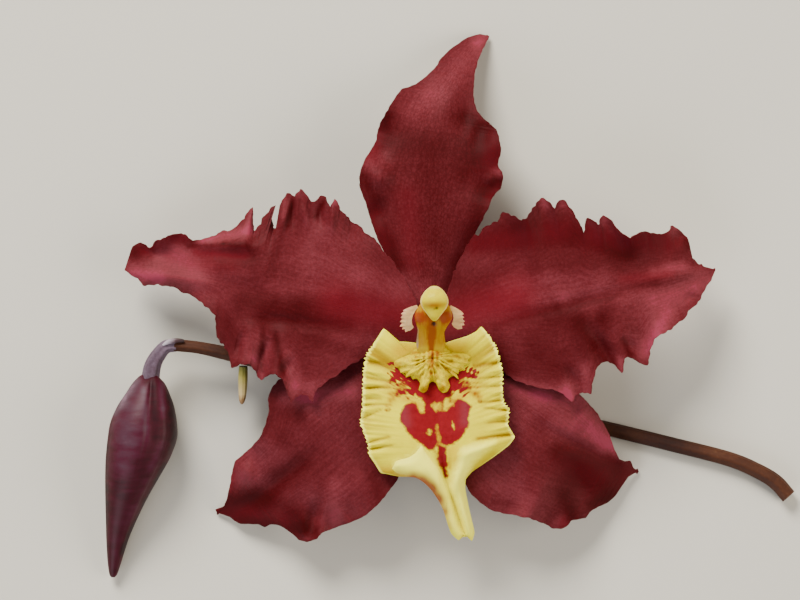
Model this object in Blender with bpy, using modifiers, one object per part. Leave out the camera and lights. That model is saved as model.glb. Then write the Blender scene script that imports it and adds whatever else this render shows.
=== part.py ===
"""A cut spray of cambria orchid: one open bloom and one bud on their stem, lying on a table, face up.

Lengths in the tables below are millimetres on the bloom: x to its right, y towards the tip of its
dorsal sepal, z up from the table. The middle of the bloom, where its parts meet, is at x 0, y -1.
"""

import math

import bmesh
import bpy
from mathutils import Vector

MM = 0.001

# Driving sizes
SEAT_GAP = 0.3  # clearance between pieces that touch
TEPAL_THICKNESS = 0.7
WING_THICKNESS = 0.6
FOOTPRINT_CENTRE = (3.15, 3.65)  # middle of the whole spray's outline, where the origin lies
SEPAL_SEAT = 10.4  # height of the sepals' upper face at the middle of the bloom
PETAL_SEAT = SEPAL_SEAT + TEPAL_THICKNESS + SEAT_GAP
COLUMN_SEAT = PETAL_SEAT + SEAT_GAP
OVARY_TOP = SEPAL_SEAT - TEPAL_THICKNESS - SEAT_GAP

# Where rows of points lie across half a tepal, from its edge (1) to its rib (0)
ROWS_ACROSS = (1.0, 0.74, 0.4)
PAIRING = 0.012  # edge points this close along the blade share one column
SMALLEST_STEP = 0.004  # least advance from one edge point to the next, as a share of the length

RED = (0.25, 0.008, 0.012)
YELLOW = (0.82, 0.66, 0.10)
CREST_YELLOW = (0.86, 0.60, 0.01)
ORANGE = (0.62, 0.24, 0.01)
CREAM = (0.80, 0.66, 0.42)
BUD_PURPLE = (0.10, 0.010, 0.025)
STEM_BROWN = (0.13, 0.06, 0.02)
OVARY_GREEN = (0.16, 0.12, 0.05)
BRACT_CREAM = (0.58, 0.46, 0.16)


# Tables of the tepals. A rib is a line from base to tip. An edge is the outline on one side of it,
# also from base to tip, and its waves are (share of the length, lift of the edge, roll between).
DORSAL_SEPAL = {
    "rib": [(0.1, 0.5, SEPAL_SEAT), (0.2, 6, 10.6), (0.2, 14, 10.9), (0.5, 22, 10.9), (1.2, 29, 9.9),
            (2.9, 35.5, 7.4), (5.8, 41, 3.9), (9.0, 44.4, 0.75)],
    "left": [(-1.2, 0.6), (-2.4, 3.5), (-4.0, 7), (-5.8, 10), (-7.6, 13), (-8.6, 15.6), (-9.3, 18),
             (-10.1, 20.1), (-10.6, 21.8), (-10.5, 23.4), (-10.0, 25.2), (-9.0, 26.8), (-8.2, 28.2),
             (-7.9, 29.6), (-7.3, 31.4), (-6.3, 33.2), (-5.2, 34.9), (-4.3, 36.2), (-2.4, 36.9),
             (-0.8, 38), (0.6, 39.4), (1.7, 40.9), (2.9, 42.2), (4.3, 43.2), (5.8, 44.2), (7.6, 44.7),
             (9.0, 44.4)],
    "right": [(1.2, 0.6), (2.2, 3.5), (3.4, 7), (4.6, 10), (6.0, 13), (7.6, 16), (8.8, 18.4), (9.5, 20),
              (10.5, 21.1), (11.0, 22.6), (10.8, 23.8), (10.2, 24.7), (10.5, 26), (10.6, 27.4),
              (10.3, 29.2), (9.8, 30.3), (8.4, 31.5), (7.3, 32.7), (6.8, 34), (6.6, 35.8), (6.7, 38),
              (7.1, 40), (7.6, 41.6), (8.3, 43), (9.0, 44.4)],
    "left_waves": [(0, 0, 0), (0.3, -0.2, 0), (0.48, 1.0, 0), (0.6, -1.0, 0.2), (0.69, 0.9, 0),
                   (0.8, -0.4, 0.1), (1, 0, 0)],
    "right_waves": [(0, 0, 0), (0.3, -0.2, 0), (0.43, 0.6, 0), (0.5, -0.7, 0.1), (0.56, 0.3, 0),
                    (0.65, 1.3, -0.2), (0.78, 0.2, 0), (1, 0, 0)],
}
LEFT_SEPAL = {
    "rib": [(-0.9, -1.9, SEPAL_SEAT), (-7, -8.4, 10.6), (-13, -14.2, 10.4), (-19.5, -19.8, 8.9),
            (-26, -24.6, 5.3), (-32.2, -27.6, 0.75)],
    "left": [(-0.2, -2.9), (-1.2, -8), (-2.4, -14), (-3.4, -18.5), (-4.8, -22.3), (-6.2, -24.3),
             (-7.4, -25.8), (-8.8, -27.2), (-10.6, -28.4), (-12.6, -29.2), (-14.6, -29.9),
             (-16.4, -30.6), (-17.0, -31.4), (-18.6, -31.9), (-19.8, -31.6), (-20.9, -30.6),
             (-22, -29.8), (-23.2, -29.4), (-24.2, -29.4), (-24.9, -29.8), (-25.8, -29.4),
             (-27.2, -29.3), (-28.6, -29.3), (-29.6, -28.8), (-30.3, -28.3), (-32.2, -27.6)],
    "right": [(-1.9, -1.6), (-8, -4.4), (-14, -5.8), (-19, -6.6), (-22.6, -7.4), (-23.8, -8.8),
              (-24.3, -10.4), (-24.2, -12.2), (-24.6, -14), (-25.4, -15.8), (-26.7, -17.4),
              (-28.2, -18.8), (-29.3, -19.8), (-29.8, -21.2), (-30.1, -23.2), (-30.5, -25),
              (-31, -26.6), (-32.2, -27.6)],
    "left_waves": [(0, 0, 0), (0.3, -0.3, 0), (0.5, 0.5, 0), (0.63, -0.2, 0.3), (0.7, -1.2, 0.3),
                   (0.78, 1.0, 0), (0.88, -0.4, 0), (1, 0, 0)],
    "right_waves": [(0, 0, 0), (0.35, -0.4, 0), (0.55, -0.3, 0.2), (0.68, 0.7, 0), (0.8, -0.9, 0.3),
                    (0.92, 0.3, 0), (1, 0, 0)],
}
RIGHT_SEPAL = {
    "rib": [(1.1, -1.9, SEPAL_SEAT), (7.5, -6.8, 10.7), (14, -11.8, 10.6), (20.5, -16.4, 9.2),
            (26.5, -19.7, 5.6), (31.6, -21.4, 0.75)],
    "left": [(1.9, -1.4), (9, -4.6), (15, -6.8), (19.5, -8.3), (22.4, -9.6), (23.8, -10.9),
             (25.2, -12.6), (26.3, -14.4), (27.2, -16.2), (27.9, -18.2), (28.5, -19.5), (29.5, -20),
             (30.3, -19.9), (30.8, -20.8), (31.6, -21.4)],
    "right": [(0.4, -2.9), (1.8, -8), (3.0, -14), (4.2, -19.5), (5.1, -22.6), (5.8, -24.2),
              (7.2, -25.6), (8.8, -26.9), (10.6, -27.5), (13, -27.9), (15.2, -28.4), (17, -29.1),
              (18.6, -29.9), (19.8, -30), (20.6, -29.7), (21.3, -28.8), (22.4, -28.5), (23.5, -28.3),
              (24.2, -27.4), (25.6, -26.6), (27, -26), (28.2, -24.9), (29, -23.6), (29.6, -22.4),
              (31.6, -21.4)],
    "left_waves": [(0, 0, 0), (0.35, -0.4, 0), (0.6, 0.2, 0.2), (0.78, -0.8, 0.3), (0.9, 0.4, 0),
                   (1, 0, 0)],
    "right_waves": [(0, 0, 0), (0.3, -0.3, 0), (0.5, 0.5, 0), (0.62, -0.6, 0.2), (0.7, 0.9, 0),
                    (0.8, -0.5, 0), (0.9, 0.4, 0), (1, 0, 0)],
}
LEFT_PETAL = {
    "rib": [(-1.1, 0.0, PETAL_SEAT), (-9, 2.4, 12.1), (-18, 4.2, 12.6), (-27, 6.2, 11.9),
            (-36, 8.2, 9.8), (-46, 9.0, 6.2)],
    "left": [(-0.9, -1.5), (-4, -2.2), (-8, -3.4), (-11.6, -5.1), (-14, -6.7), (-16.2, -8.3),
             (-17.3, -9.3), (-17.7, -10.8), (-18.4, -9.9), (-19.4, -9.6), (-20.2, -10.2),
             (-20.8, -10.8), (-21.3, -9.6), (-21.8, -8.2), (-22.4, -7.1), (-23.2, -6.6),
             (-24.4, -6.9), (-25.4, -7.5), (-26.1, -6.3), (-26.8, -5.3), (-28.4, -5.1),
             (-29.8, -5.5), (-30.1, -3.8), (-31, -2.3), (-31.9, -1.4), (-32, 0.4), (-32.1, 2.1),
             (-33.2, 3.2), (-34.6, 4.3), (-36.6, 5.4), (-38.8, 6.4), (-41.4, 6.9), (-42.8, 6.6),
             (-43.9, 7.5), (-45, 8.3), (-46, 9.0)],
    "right": [(-1.1, 1.2), (-2.6, 5), (-4.6, 8), (-7, 10.8), (-8.6, 13.4), (-10.5, 15.4), (-12, 16.6),
              (-13.4, 18.2), (-14.2, 19.6), (-15, 18.6), (-15.7, 20.1), (-16.4, 20), (-17.2, 19.2),
              (-18.2, 19.9), (-19.4, 21.2), (-20.4, 20.1), (-21.5, 20.5), (-22.5, 18.8),
              (-22.7, 15.8), (-23.3, 15.2), (-23.8, 17.4), (-23.2, 18.7), (-24.7, 17.4),
              (-25.6, 15.8), (-26.3, 15), (-26.7, 18.2), (-28, 16.8), (-29.6, 15.4), (-31.6, 14.5),
              (-34, 13.7), (-35.8, 13.4), (-37.4, 14.6), (-39.4, 14.1), (-41, 13.3), (-42, 12.3),
              (-43.4, 13.1), (-44.8, 12.5), (-45.4, 10.8), (-46, 9.0)],
    "left_waves": [(0, 0, 0), (0.2, 0, 0), (0.36, -0.5, 0), (0.44, 0.9, 0), (0.49, -0.7, 0),
                   (0.55, 0.8, 0.2), (0.61, -0.9, 0), (0.68, 0.7, 0), (0.78, -0.6, 0.2),
                   (0.9, -0.9, 0.2), (1, 0, 0)],
    "right_waves": [(0, 0, 0), (0.15, 0.3, 0), (0.28, -1.2, 0.3), (0.36, 0.2, 0), (0.43, -1.4, 0),
                    (0.5, -0.2, 0), (0.55, -1.6, 0.9), (0.7, -0.9, 1.0), (0.77, 0.2, 0),
                    (0.88, 1.3, -0.5), (0.96, 0.6, 0), (1, 0, 0)],
}
RIGHT_PETAL = {
    "rib": [(1.1, 0.0, PETAL_SEAT), (9, 2.4, 12.1), (18, 4.3, 12.6), (27, 6.3, 12.1), (35, 8.1, 10.1),
            (43, 9.0, 6.6)],
    "left": [(1.1, 1.2), (2.4, 5), (3.6, 8.6), (5, 11.7), (6.4, 14.3), (7.3, 14.2), (7.8, 15.2),
             (9.1, 16), (10.1, 16.2), (11, 17.8), (12.4, 17.1), (13.7, 16.3), (14.9, 17.3),
             (15.9, 19), (17, 19.9), (17.8, 19.1), (18.6, 18.2), (19.3, 19.1), (19.9, 19.6),
             (20.8, 18.5), (21.8, 17.1), (22.5, 15.6), (22.9, 14.1), (23.3, 15), (23.6, 16.7),
             (24.5, 16.3), (25.3, 15.7), (25.8, 17.3), (26.9, 16.6), (28.2, 14.9), (29.9, 13.7),
             (31.8, 14.7), (33.6, 14.5), (35.4, 14.5), (36.4, 15.7), (38, 14.8), (38.9, 13.6),
             (39.2, 11.2), (40.4, 10.1), (43, 9.0)],
    "right": [(0.9, -1.5), (4, -2.2), (7, -3.6), (10, -5.6), (12.2, -7.2), (14.2, -8.1), (16.4, -8.7),
              (18.6, -9), (20, -9.5), (21.2, -10.8), (22, -9.6), (22.9, -9.4), (24.1, -9.6),
              (24.3, -7.6), (24.9, -5.8), (25.8, -4.8), (27.2, -4.9), (28.8, -6.3), (29, -4.8),
              (29.7, -4), (31.2, -4.6), (32.6, -5.4), (33, -3.2), (33.6, -1.5), (34.8, -0.5),
              (36.4, 0.3), (38, 1.6), (39.3, 3.1), (40.5, 4.5), (41.5, 6.1), (42.3, 7.6), (43, 9.0)],
    "left_waves": [(0, 0, 0), (0.15, 0.3, 0), (0.3, 0.9, 0), (0.39, 1.9, 0), (0.45, 0.9, 0),
                   (0.5, 1.5, -0.2), (0.57, 0.6, 0), (0.64, 1.8, -0.3), (0.75, 2.1, -0.4),
                   (0.86, 0.2, 0), (0.93, -0.7, 0), (1, 0, 0)],
    "right_waves": [(0, 0, 0), (0.3, -0.2, 0), (0.44, -0.6, 0), (0.5, 0.8, 0), (0.56, -0.8, 0),
                    (0.63, 0.4, 0), (0.69, -0.9, 0), (0.76, 1.2, -0.2), (0.88, 0.9, 0), (1, 0, 0)],
}
LIP = {
    "rib": [(0.2, -2.8, 13.2), (0.35, -5.5, 13.7), (0.9, -12.5, 14.1), (1.5, -17.5, 14.4),
            (2.4, -22.2, 13.3), (3.8, -26.6, 11.3), (5.3, -30.8, 9.0)],
    "left": [(-1.7, -2.0), (-3.2, -1.8), (-4.8, -1.7), (-5.5, -1.2), (-6.2, -0.3), (-7, 0.2), (-7.8, -1),
             (-8.8, -2.5), (-9.6, -3.8), (-10, -6), (-10.1, -9), (-10.2, -12.2), (-10.5, -13.8),
             (-9.9, -15.6), (-9.3, -17.2), (-9.2, -18.6), (-8.3, -20), (-7.4, -21.4), (-6.4, -21.6),
             (-4.6, -22), (-2.6, -22), (-1.2, -22.6), (0, -23.7), (1.1, -25.2), (2, -27),
             (2.6, -29), (3.2, -30.6), (4.3, -31.6), (5.3, -30.8)],
    "right": [(2.0, -2.0), (3.3, -1.6), (4.6, -1.2), (5.8, -0.8), (6.9, -0.2), (7.7, 0.5),
              (8.7, -0.6), (9.8, -2.2), (10.4, -4), (10.9, -6.4), (10.9, -9.4), (11.1, -10.8),
              (11.9, -12), (11.7, -14.2), (12.7, -16), (11.8, -17.3), (10, -18.7), (8, -20.1),
              (6.3, -21.3), (5.4, -22.4), (5.3, -23.8), (5.7, -26), (6.2, -28.2), (6.7, -30.4),
              (6.3, -31.7), (5.3, -30.8)],
    "left_waves": [(0, -0.1, 0), (0.12, -0.4, 0), (0.45, -0.3, 0.2), (0.56, -0.7, 0.3),
                   (0.64, -1.4, 1.0), (0.74, -1.2, 0.9), (1, -0.8, 0.6)],
    "right_waves": [(0, -0.1, 0), (0.12, -0.4, 0), (0.4, -0.2, 0.2), (0.5, -1.0, 0.5),
                    (0.6, -1.4, 0.9), (0.74, -1.2, 0.9), (1, -0.8, 0.6)],
}
# The stretch of each lip edge that is cut in fine teeth, as the numbers of its points
LIP_TEETH = {"left": (6, 16), "right": (6, 14)}
TOOTH_PITCH, TOOTH_DEPTH, PLEAT_HEIGHT = 1.25, 0.4, 0.22

# The wings beside the column: a toothed, tilted plate each, as its outline, then the height of its
# upper face at the first point and how far that face rises along x and along y
LEFT_WING = {
    "outline": [(-2.0, 3.4), (-2.7, 3.6), (-3.5, 3.1), (-4.2, 2.5), (-4.0, 2.1), (-4.5, 1.7), (-4.1, 1.3),
                (-4.6, 0.8), (-4.0, 0.6), (-4.0, 0.1), (-3.1, -0.1), (-2.9, 0.7), (-3.1, 1.6),
                (-2.9, 2.5)],
    "height": 19.4, "rise": (0.25, 0.4),
}
RIGHT_WING = {
    "outline": [(3.4, 3.3), (4.0, 3.4), (4.7, 3.0), (5.1, 2.4), (4.8, 2.0), (5.3, 1.5), (4.9, 1.2),
                (5.2, 0.7), (4.7, 0.5), (4.1, 0.1), (3.8, 0.8), (4.0, 1.6), (3.9, 2.4)],
    "height": 19.4, "rise": (-0.25, 0.4),
}

# Stems, as (x, y, z, radius) from the cut end or the stem that they grow from
RACHIS = [(54.2, -25.2, 1.2, 1.2), (52.2, -23, 1.2, 1.2), (49.4, -21.3, 1.17, 1.17),
          (45, -19.5, 1.15, 1.15), (36, -17.2, 1.12, 1.12), (27, -15, 1.12, 1.1),
          (18, -12.9, 1.2, 1.12), (9, -10.9, 1.7, 1.08), (-2, -9.2, 2.8, 1.06),
          (-13, -7.5, 4.1, 1.05), (-22, -5.7, 5.1, 1.05), (-28.4, -4.1, 5.7, 1.12),
          (-34.5, -2.75, 6.1, 0.95), (-38.5, -2.3, 6.2, 0.95)]
BLOOM_STALK = [(17.2, -12.8, 1.3, 0.8), (14.8, -11.6, 2.2, 0.85), (12, -9.8, 3.3, 0.85)]
BLOOM_OVARY = [(11.7, -9.6, 3.42, 0.85), (8, -7.2, 4.5, 0.95), (4.4, -4.9, 5.3, 1.15),
               (1.5, -2.7, 6.4, 1.5), (0.1, -1.3, 7.9, 1.75), (0, -1.2, OVARY_TOP, 1.85)]
BUD_OVARY = [(-38.85, -2.27, 6.2, 0.95), (-39.8, -2.5, 6.2, 1.0), (-41.1, -4.1, 6.0, 1.15),
             (-41.7, -5.6, 5.7, 1.28), (-42.1, -7.1, 5.5, 1.4)]
MIDDLE_BRACT = [(-28.1, -5.55, 5.5, 0.5), (-28.2, -7, 5.2, 0.55), (-28.3, -9.2, 4.9, 0.5),
                (-28.4, -11.2, 4.7, 0.16)]
BUD_BRACT = [(-36.8, -1.5, 7.5, 0.3), (-38.2, -1.5, 7.65, 0.42), (-39.5, -1.7, 7.6, 0.36),
             (-40.4, -2.2, 7.4, 0.14)]
BLOOM_BRACT = [(15.4, -10.0, 2.5, 0.4), (13.6, -9.0, 3.5, 0.45), (11.6, -7.8, 4.6, 0.4),
               (10.4, -7.1, 5.9, 0.14)]

# The closed bud: (x, y, z, half width, half height) down its middle
BUD = [(-42.2, -7.45, 5.4, 1.5, 1.5), (-42.3, -8.2, 5.4, 2.3, 2.3), (-42.5, -9.6, 5.4, 3.3, 3.3),
       (-42.8, -11.6, 5.3, 4.3, 4.3), (-43.1, -14, 5.2, 5.0, 5.0), (-43.3, -16.4, 5.1, 5.2, 5.1),
       (-44, -19.4, 4.9, 4.8, 4.8), (-44.9, -22.4, 4.5, 4.0, 4.1), (-45.8, -25.6, 4.0, 3.1, 3.3),
       (-46.6, -29, 3.3, 2.25, 2.4), (-47.2, -32, 2.6, 1.6, 1.7), (-47.6, -35, 1.9, 1.05, 1.05),
       (-47.8, -37.4, 1.3, 0.5, 0.5)]
BUD_SIDES = 24
SEAM_DEPTH, SEAM_TURN = 0.13, math.radians(70)

# The column: (x, y, z, half width, half depth) from its foot to the seat of the anther cap
COLUMN = [(0.1, -1.0, COLUMN_SEAT, 1.3, 1.2), (0.1, -1.0, 13.8, 1.4, 1.25),
          (0.1, -1.9, 15.1, 2.0, 2.6), (0.1, -1.2, 16.0, 2.0, 2.4), (0.2, 0.3, 17.1, 2.0, 1.9),
          (0.4, 1.4, 18.0, 2.8, 1.7), (0.5, 2.4, 19.0, 2.7, 1.7), (0.7, 3.6, 19.6, 1.7, 1.4)]
COLUMN_SIDES = 16
TROUGH_DEPTH = 0.35  # how far the column's face towards the lip is hollowed

# The anther cap is an egg on a flat underside. Its lower end narrows, sinks and is drawn into a beak.
CAP_CENTRE, CAP_RADII = (0.7, 4.1, 21.0), (2.1, 2.35, 1.75)
CAP_UNDERSIDE = -0.45  # as a share of its half height
BEAK_LENGTH, BEAK_TAPER, BEAK_DROOP = 0.6, 0.35, 0.15

# The crest on the lip: its two keels end in knobs, and its fingers spread to each side. Keels are
# (x, y, height of the middle above the crest's floor, radius), fingers only their tips.
CREST_FLOOR = 14.05
KEELS = [[(-0.4, -5.2, 0.85, 0.76), (-0.4, -6.4, 0.95, 0.81), (-0.7, -7.7, 0.95, 0.76),
          (-0.7, -8.5, 0.95, 0.95), (-0.7, -9.35, 0.95, 0.43)],
         [(0.9, -5.2, 0.85, 0.76), (0.9, -6.4, 0.95, 0.81), (1.7, -7.6, 0.95, 0.76),
          (1.7, -8.4, 0.95, 0.95), (1.7, -9.25, 0.95, 0.43)]]
CREST_HEART = (0.5, -5.9)
# (share of the way to the tip, height of the middle above the floor, radius) along each finger
FINGER = [(0, 0.9, 0.9), (0.55, 0.8, 0.8), (1, 0.6, 0.28)]
FINGER_TIPS = [(-5.3, -4.6), (-4.9, -5.6), (-4.2, -6.4), (-3.3, -7.0), (-2.3, -7.3),
               (3.1, -7.4), (4.2, -7.3), (4.9, -6.2), (5.7, -5.3), (5.9, -4.2)]


def clear_scene():
    for obj in list(bpy.data.objects):
        bpy.data.objects.remove(obj, do_unlink=True)


def make_material(name, colour, roughness):
    material = bpy.data.materials.new(name)
    material.use_nodes = True
    shader = material.node_tree.nodes["Principled BSDF"]
    shader.inputs["Base Color"].default_value = (*colour, 1)
    shader.inputs["Roughness"].default_value = roughness
    return material


def add_node(name, mesh, material):
    """Puts a mesh into the spray as one named sub-part."""
    mesh.name = name
    mesh.materials.clear()
    mesh.materials.append(material)
    obj = bpy.data.objects.new(name, mesh)
    SPRAY.objects.link(obj)
    obj.parent = STAND
    return obj


def eased(stations, share):
    """The values that ease from one (share, value, ...) station to the next."""
    for before, after in zip(stations, stations[1:]):
        if share <= after[0]:
            part = (share - before[0]) / (after[0] - before[0])
            part = part * part * (3 - 2 * part)
            return [a + (b - a) * part for a, b in zip(before[1:], after[1:])]
    return list(stations[-1][1:])


def smooth_line(points, steps):
    """A Catmull-Rom line through the points, with this many steps from each to the next."""
    points = [Vector(p) for p in points]
    padded = [2 * points[0] - points[1], *points, 2 * points[-1] - points[-2]]
    line = []
    for p0, p1, p2, p3 in zip(padded, padded[1:], padded[2:], padded[3:]):
        for k in range(steps):
            t = k / steps
            line.append(0.5 * (2 * p1 + (p2 - p0) * t + (2 * p0 - 5 * p1 + 4 * p2 - p3) * t * t
                               + (3 * p1 - p0 - 3 * p2 + p3) * t ** 3))
    line.append(points[-1])
    return line


def rising_shares(points, rib):
    """How far along the blade each point lies, from 0 to 1, kept rising where the outline turns back."""
    base, tip = rib[0], rib[-1]
    along = Vector((tip[0] - base[0], tip[1] - base[1]))
    length = along.length
    shares = [0.0]
    for point in points[1:]:
        share = (Vector(point[:2]) - base.xy).dot(along) / length ** 2
        shares.append(max(share, shares[-1] + SMALLEST_STEP))
    return [share / shares[-1] for share in shares]


def outline_shares(points, rib):
    """How far along its own outline each point lies, from 0 to 1: this fans the rows of a broad blade."""
    marks = [0.0]
    for a, b in zip(points, points[1:]):
        marks.append(marks[-1] + (Vector(b[:2]) - Vector(a[:2])).length)
    return [mark / marks[-1] for mark in marks]


def between(points, shares, share):
    """The point of a line at this share of the blade's length."""
    for k in range(1, len(points)):
        if share <= shares[k]:
            part = (share - shares[k - 1]) / (shares[k] - shares[k - 1])
            return Vector(points[k - 1]).lerp(Vector(points[k]), part)
    return Vector(points[-1])


def paired_columns(left, right, rib, measure):
    """(share, left point, right point) for each column of a blade, with every outline point in one."""
    left_shares, right_shares = measure(left, rib), measure(right, rib)
    columns, i, j = [(0.0, Vector(left[0]), Vector(right[0]))], 0, 0
    while i < len(left) - 1 or j < len(right) - 1:
        next_left = left_shares[i + 1] if i < len(left) - 1 else math.inf
        next_right = right_shares[j + 1] if j < len(right) - 1 else math.inf
        take_left = next_left <= next_right + PAIRING
        take_right = next_right <= next_left + PAIRING
        i += take_left
        j += take_right
        share = min(next_left, next_right)
        columns.append((share,
                        Vector(left[i]) if take_left else between(left, left_shares, share),
                        Vector(right[j]) if take_right else between(right, right_shares, share)))
    return columns


def blade_point(rib_point, edge_point, across, lift, roll):
    """A point of a blade between its rib (across 0) and its edge (across 1)."""
    x = rib_point.x + (edge_point.x - rib_point.x) * across
    y = rib_point.y + (edge_point.y - rib_point.y) * across
    z = rib_point.z + lift * across ** 2 + roll * math.sin(math.pi * across) + edge_point.z * across ** 3
    return Vector((x, y, z))


def make_blade(name, table, material, measure=rising_shares):
    """A thin waved blade: a grid from edge to rib to edge, split into triangles and given its thickness."""
    rib = smooth_line(table["rib"], 8)
    rib_shares = rising_shares(rib, rib)
    sides = [[(*p, 0)[:3] for p in table[side]] for side in ("left", "right")]
    bm = bmesh.new()
    rows = []
    for share, left, right in paired_columns(*sides, rib, measure):
        middle = between(rib, rib_shares, share)
        left_lift, left_roll = eased(table["left_waves"], share)
        right_lift, right_roll = eased(table["right_waves"], share)
        points = [blade_point(middle, left, v, left_lift, left_roll) for v in ROWS_ACROSS]
        points.append(middle)
        points += [blade_point(middle, right, v, right_lift, right_roll) for v in reversed(ROWS_ACROSS)]
        rows.append([bm.verts.new(p * MM) for p in points])
    for near, far in zip(rows, rows[1:]):
        for k in range(len(near) - 1):
            bm.faces.new((near[k], near[k + 1], far[k + 1], far[k]))
    bmesh.ops.remove_doubles(bm, verts=bm.verts, dist=0.00002)
    bmesh.ops.triangulate(bm, faces=bm.faces)
    bmesh.ops.recalc_face_normals(bm, faces=bm.faces)
    if sum(face.normal.z * face.calc_area() for face in bm.faces) < 0:
        bmesh.ops.reverse_faces(bm, faces=bm.faces)
    mesh = bpy.data.meshes.new(name)
    bm.to_mesh(mesh)
    bm.free()
    blade = add_node(name, mesh, material)
    solid = blade.modifiers.new("thickness", "SOLIDIFY")
    solid.thickness = TEPAL_THICKNESS * MM
    solid.offset = -1
    return blade


def toothed(outline, first, last, outward):
    """The outline with fine pleated teeth between two of its points. outward is +1 or -1 along x."""
    stretch = [Vector(p) for p in outline[first:last + 1]]
    length = sum((b - a).length for a, b in zip(stretch, stretch[1:]))
    count = 2 * round(length / TOOTH_PITCH)
    shares = outline_shares(stretch, None)
    teeth = []
    for k in range(count + 1):
        at = between(stretch, shares, k / count)
        out = TOOTH_DEPTH / 2 * (1 if k % 2 else -1)
        teeth.append((at.x + outward * out, at.y, PLEAT_HEIGHT * (1 if k % 2 else -1)))
    return [*outline[:first], *teeth, *outline[last + 1:]]


def make_lip(material):
    table = dict(LIP)
    table["left"] = toothed(LIP["left"], *LIP_TEETH["left"], -1)
    table["right"] = toothed(LIP["right"], *LIP_TEETH["right"], 1)
    return make_blade("lip", table, material, measure=outline_shares)


def tube_mesh(name, path, steps=4, resolution=2):
    """A round stem along (x, y, z, radius) points, with closed ends, as a mesh."""
    line = smooth_line(path, steps)
    curve = bpy.data.curves.new(name, "CURVE")
    curve.dimensions = "3D"
    curve.bevel_depth = MM
    curve.bevel_resolution = resolution
    curve.use_fill_caps = True
    spline = curve.splines.new("POLY")
    spline.points.add(len(line) - 1)
    for point, place in zip(spline.points, line):
        point.co = (*(place.xyz * MM), 1)
        point.radius = place[3]
    guide = bpy.data.objects.new(name, curve)
    SPRAY.objects.link(guide)
    mesh = bpy.data.meshes.new_from_object(guide.evaluated_get(bpy.context.evaluated_depsgraph_get()))
    bpy.data.objects.remove(guide)
    bpy.data.curves.remove(curve)
    bm = bmesh.new()
    bm.from_mesh(mesh)
    bmesh.ops.remove_doubles(bm, verts=bm.verts, dist=0.00001)
    bmesh.ops.triangulate(bm, faces=bm.faces)
    bmesh.ops.recalc_face_normals(bm, faces=bm.faces)
    bm.to_mesh(mesh)
    bm.free()
    return mesh


def lofted(name, rings):
    """A closed body through rings of points that all have the same count, with flat ends."""
    bm = bmesh.new()
    loops = [[bm.verts.new(p * MM) for p in ring] for ring in rings]
    for near, far in zip(loops, loops[1:]):
        for k in range(len(near)):
            after = (k + 1) % len(near)
            bm.faces.new((near[k], near[after], far[after], far[k]))
    bm.faces.new(loops[0])
    bm.faces.new(loops[-1])
    bmesh.ops.triangulate(bm, faces=bm.faces)
    bmesh.ops.recalc_face_normals(bm, faces=bm.faces)
    mesh = bpy.data.meshes.new(name)
    bm.to_mesh(mesh)
    bm.free()
    return mesh


def joined(name, base, others, material):
    """One solid from a base mesh and the meshes that grow out of it."""
    body = add_node(name, base, material)
    collection = bpy.data.collections.new(name + " joints")
    bpy.context.scene.collection.children.link(collection)
    for k, mesh in enumerate(others):
        piece = bpy.data.objects.new(f"{name} piece {k}", mesh)
        piece.parent = STAND
        collection.objects.link(piece)
    union = body.modifiers.new("join", "BOOLEAN")
    union.operation = "UNION"
    union.operand_type = "COLLECTION"
    union.collection = collection
    union.solver = "EXACT"
    union.use_self = True
    bpy.context.view_layer.update()
    whole = bpy.data.meshes.new_from_object(body.evaluated_get(bpy.context.evaluated_depsgraph_get()))
    body.modifiers.clear()
    for piece in list(collection.objects):
        bpy.data.objects.remove(piece)
    bpy.data.collections.remove(collection)
    bpy.data.objects.remove(body)
    return add_node(name, whole, material)


def make_rachis(material):
    """The main stem, with the stub that the bloom's own stalk is jointed to."""
    return joined("rachis", tube_mesh("rachis", RACHIS), [tube_mesh("stalk", BLOOM_STALK)], material)


def make_bud(material):
    """The closed bud: three sepals edge to edge, whose seams are shallow grooves."""
    rings = []
    for x, y, z, half_width, half_height in BUD:
        ring = []
        for k in range(BUD_SIDES):
            turn = 2 * math.pi * k / BUD_SIDES
            seam = SEAM_DEPTH * max(0.0, math.cos(3 * (turn - SEAM_TURN))) ** 6
            ring.append(Vector((x + half_width * (1 - seam) * math.cos(turn), y,
                                z + half_height * (1 - seam) * math.sin(turn))))
        rings.append(ring)
    return add_node("bud", lofted("bud", rings), material)


def make_column(material):
    """The column: a thick stalk that leans over the lip and widens into a hood under the anther cap."""
    rings = []
    for x, y, z, half_width, half_depth in COLUMN:
        ring = []
        for k in range(COLUMN_SIDES):
            turn = 2 * math.pi * k / COLUMN_SIDES
            trough = TROUGH_DEPTH * max(0.0, -math.sin(turn)) ** 4
            ring.append(Vector((x + half_width * math.cos(turn),
                                y + half_depth * (math.sin(turn) + trough), z)))
        rings.append(ring)
    return add_node("column", lofted("column", rings), material)


def make_wing(name, table, material):
    """A toothed wing beside the column: a flat, tilted plate."""
    (x0, y0), (rise_x, rise_y) = table["outline"][0], table["rise"]
    upper = [Vector((x, y, table["height"] + rise_x * (x - x0) + rise_y * (y - y0)))
             for x, y in table["outline"]]
    down = -WING_THICKNESS * Vector((-rise_x, -rise_y, 1)).normalized()
    return add_node(name, lofted(name, [[p + down for p in upper], upper]), material)


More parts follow.
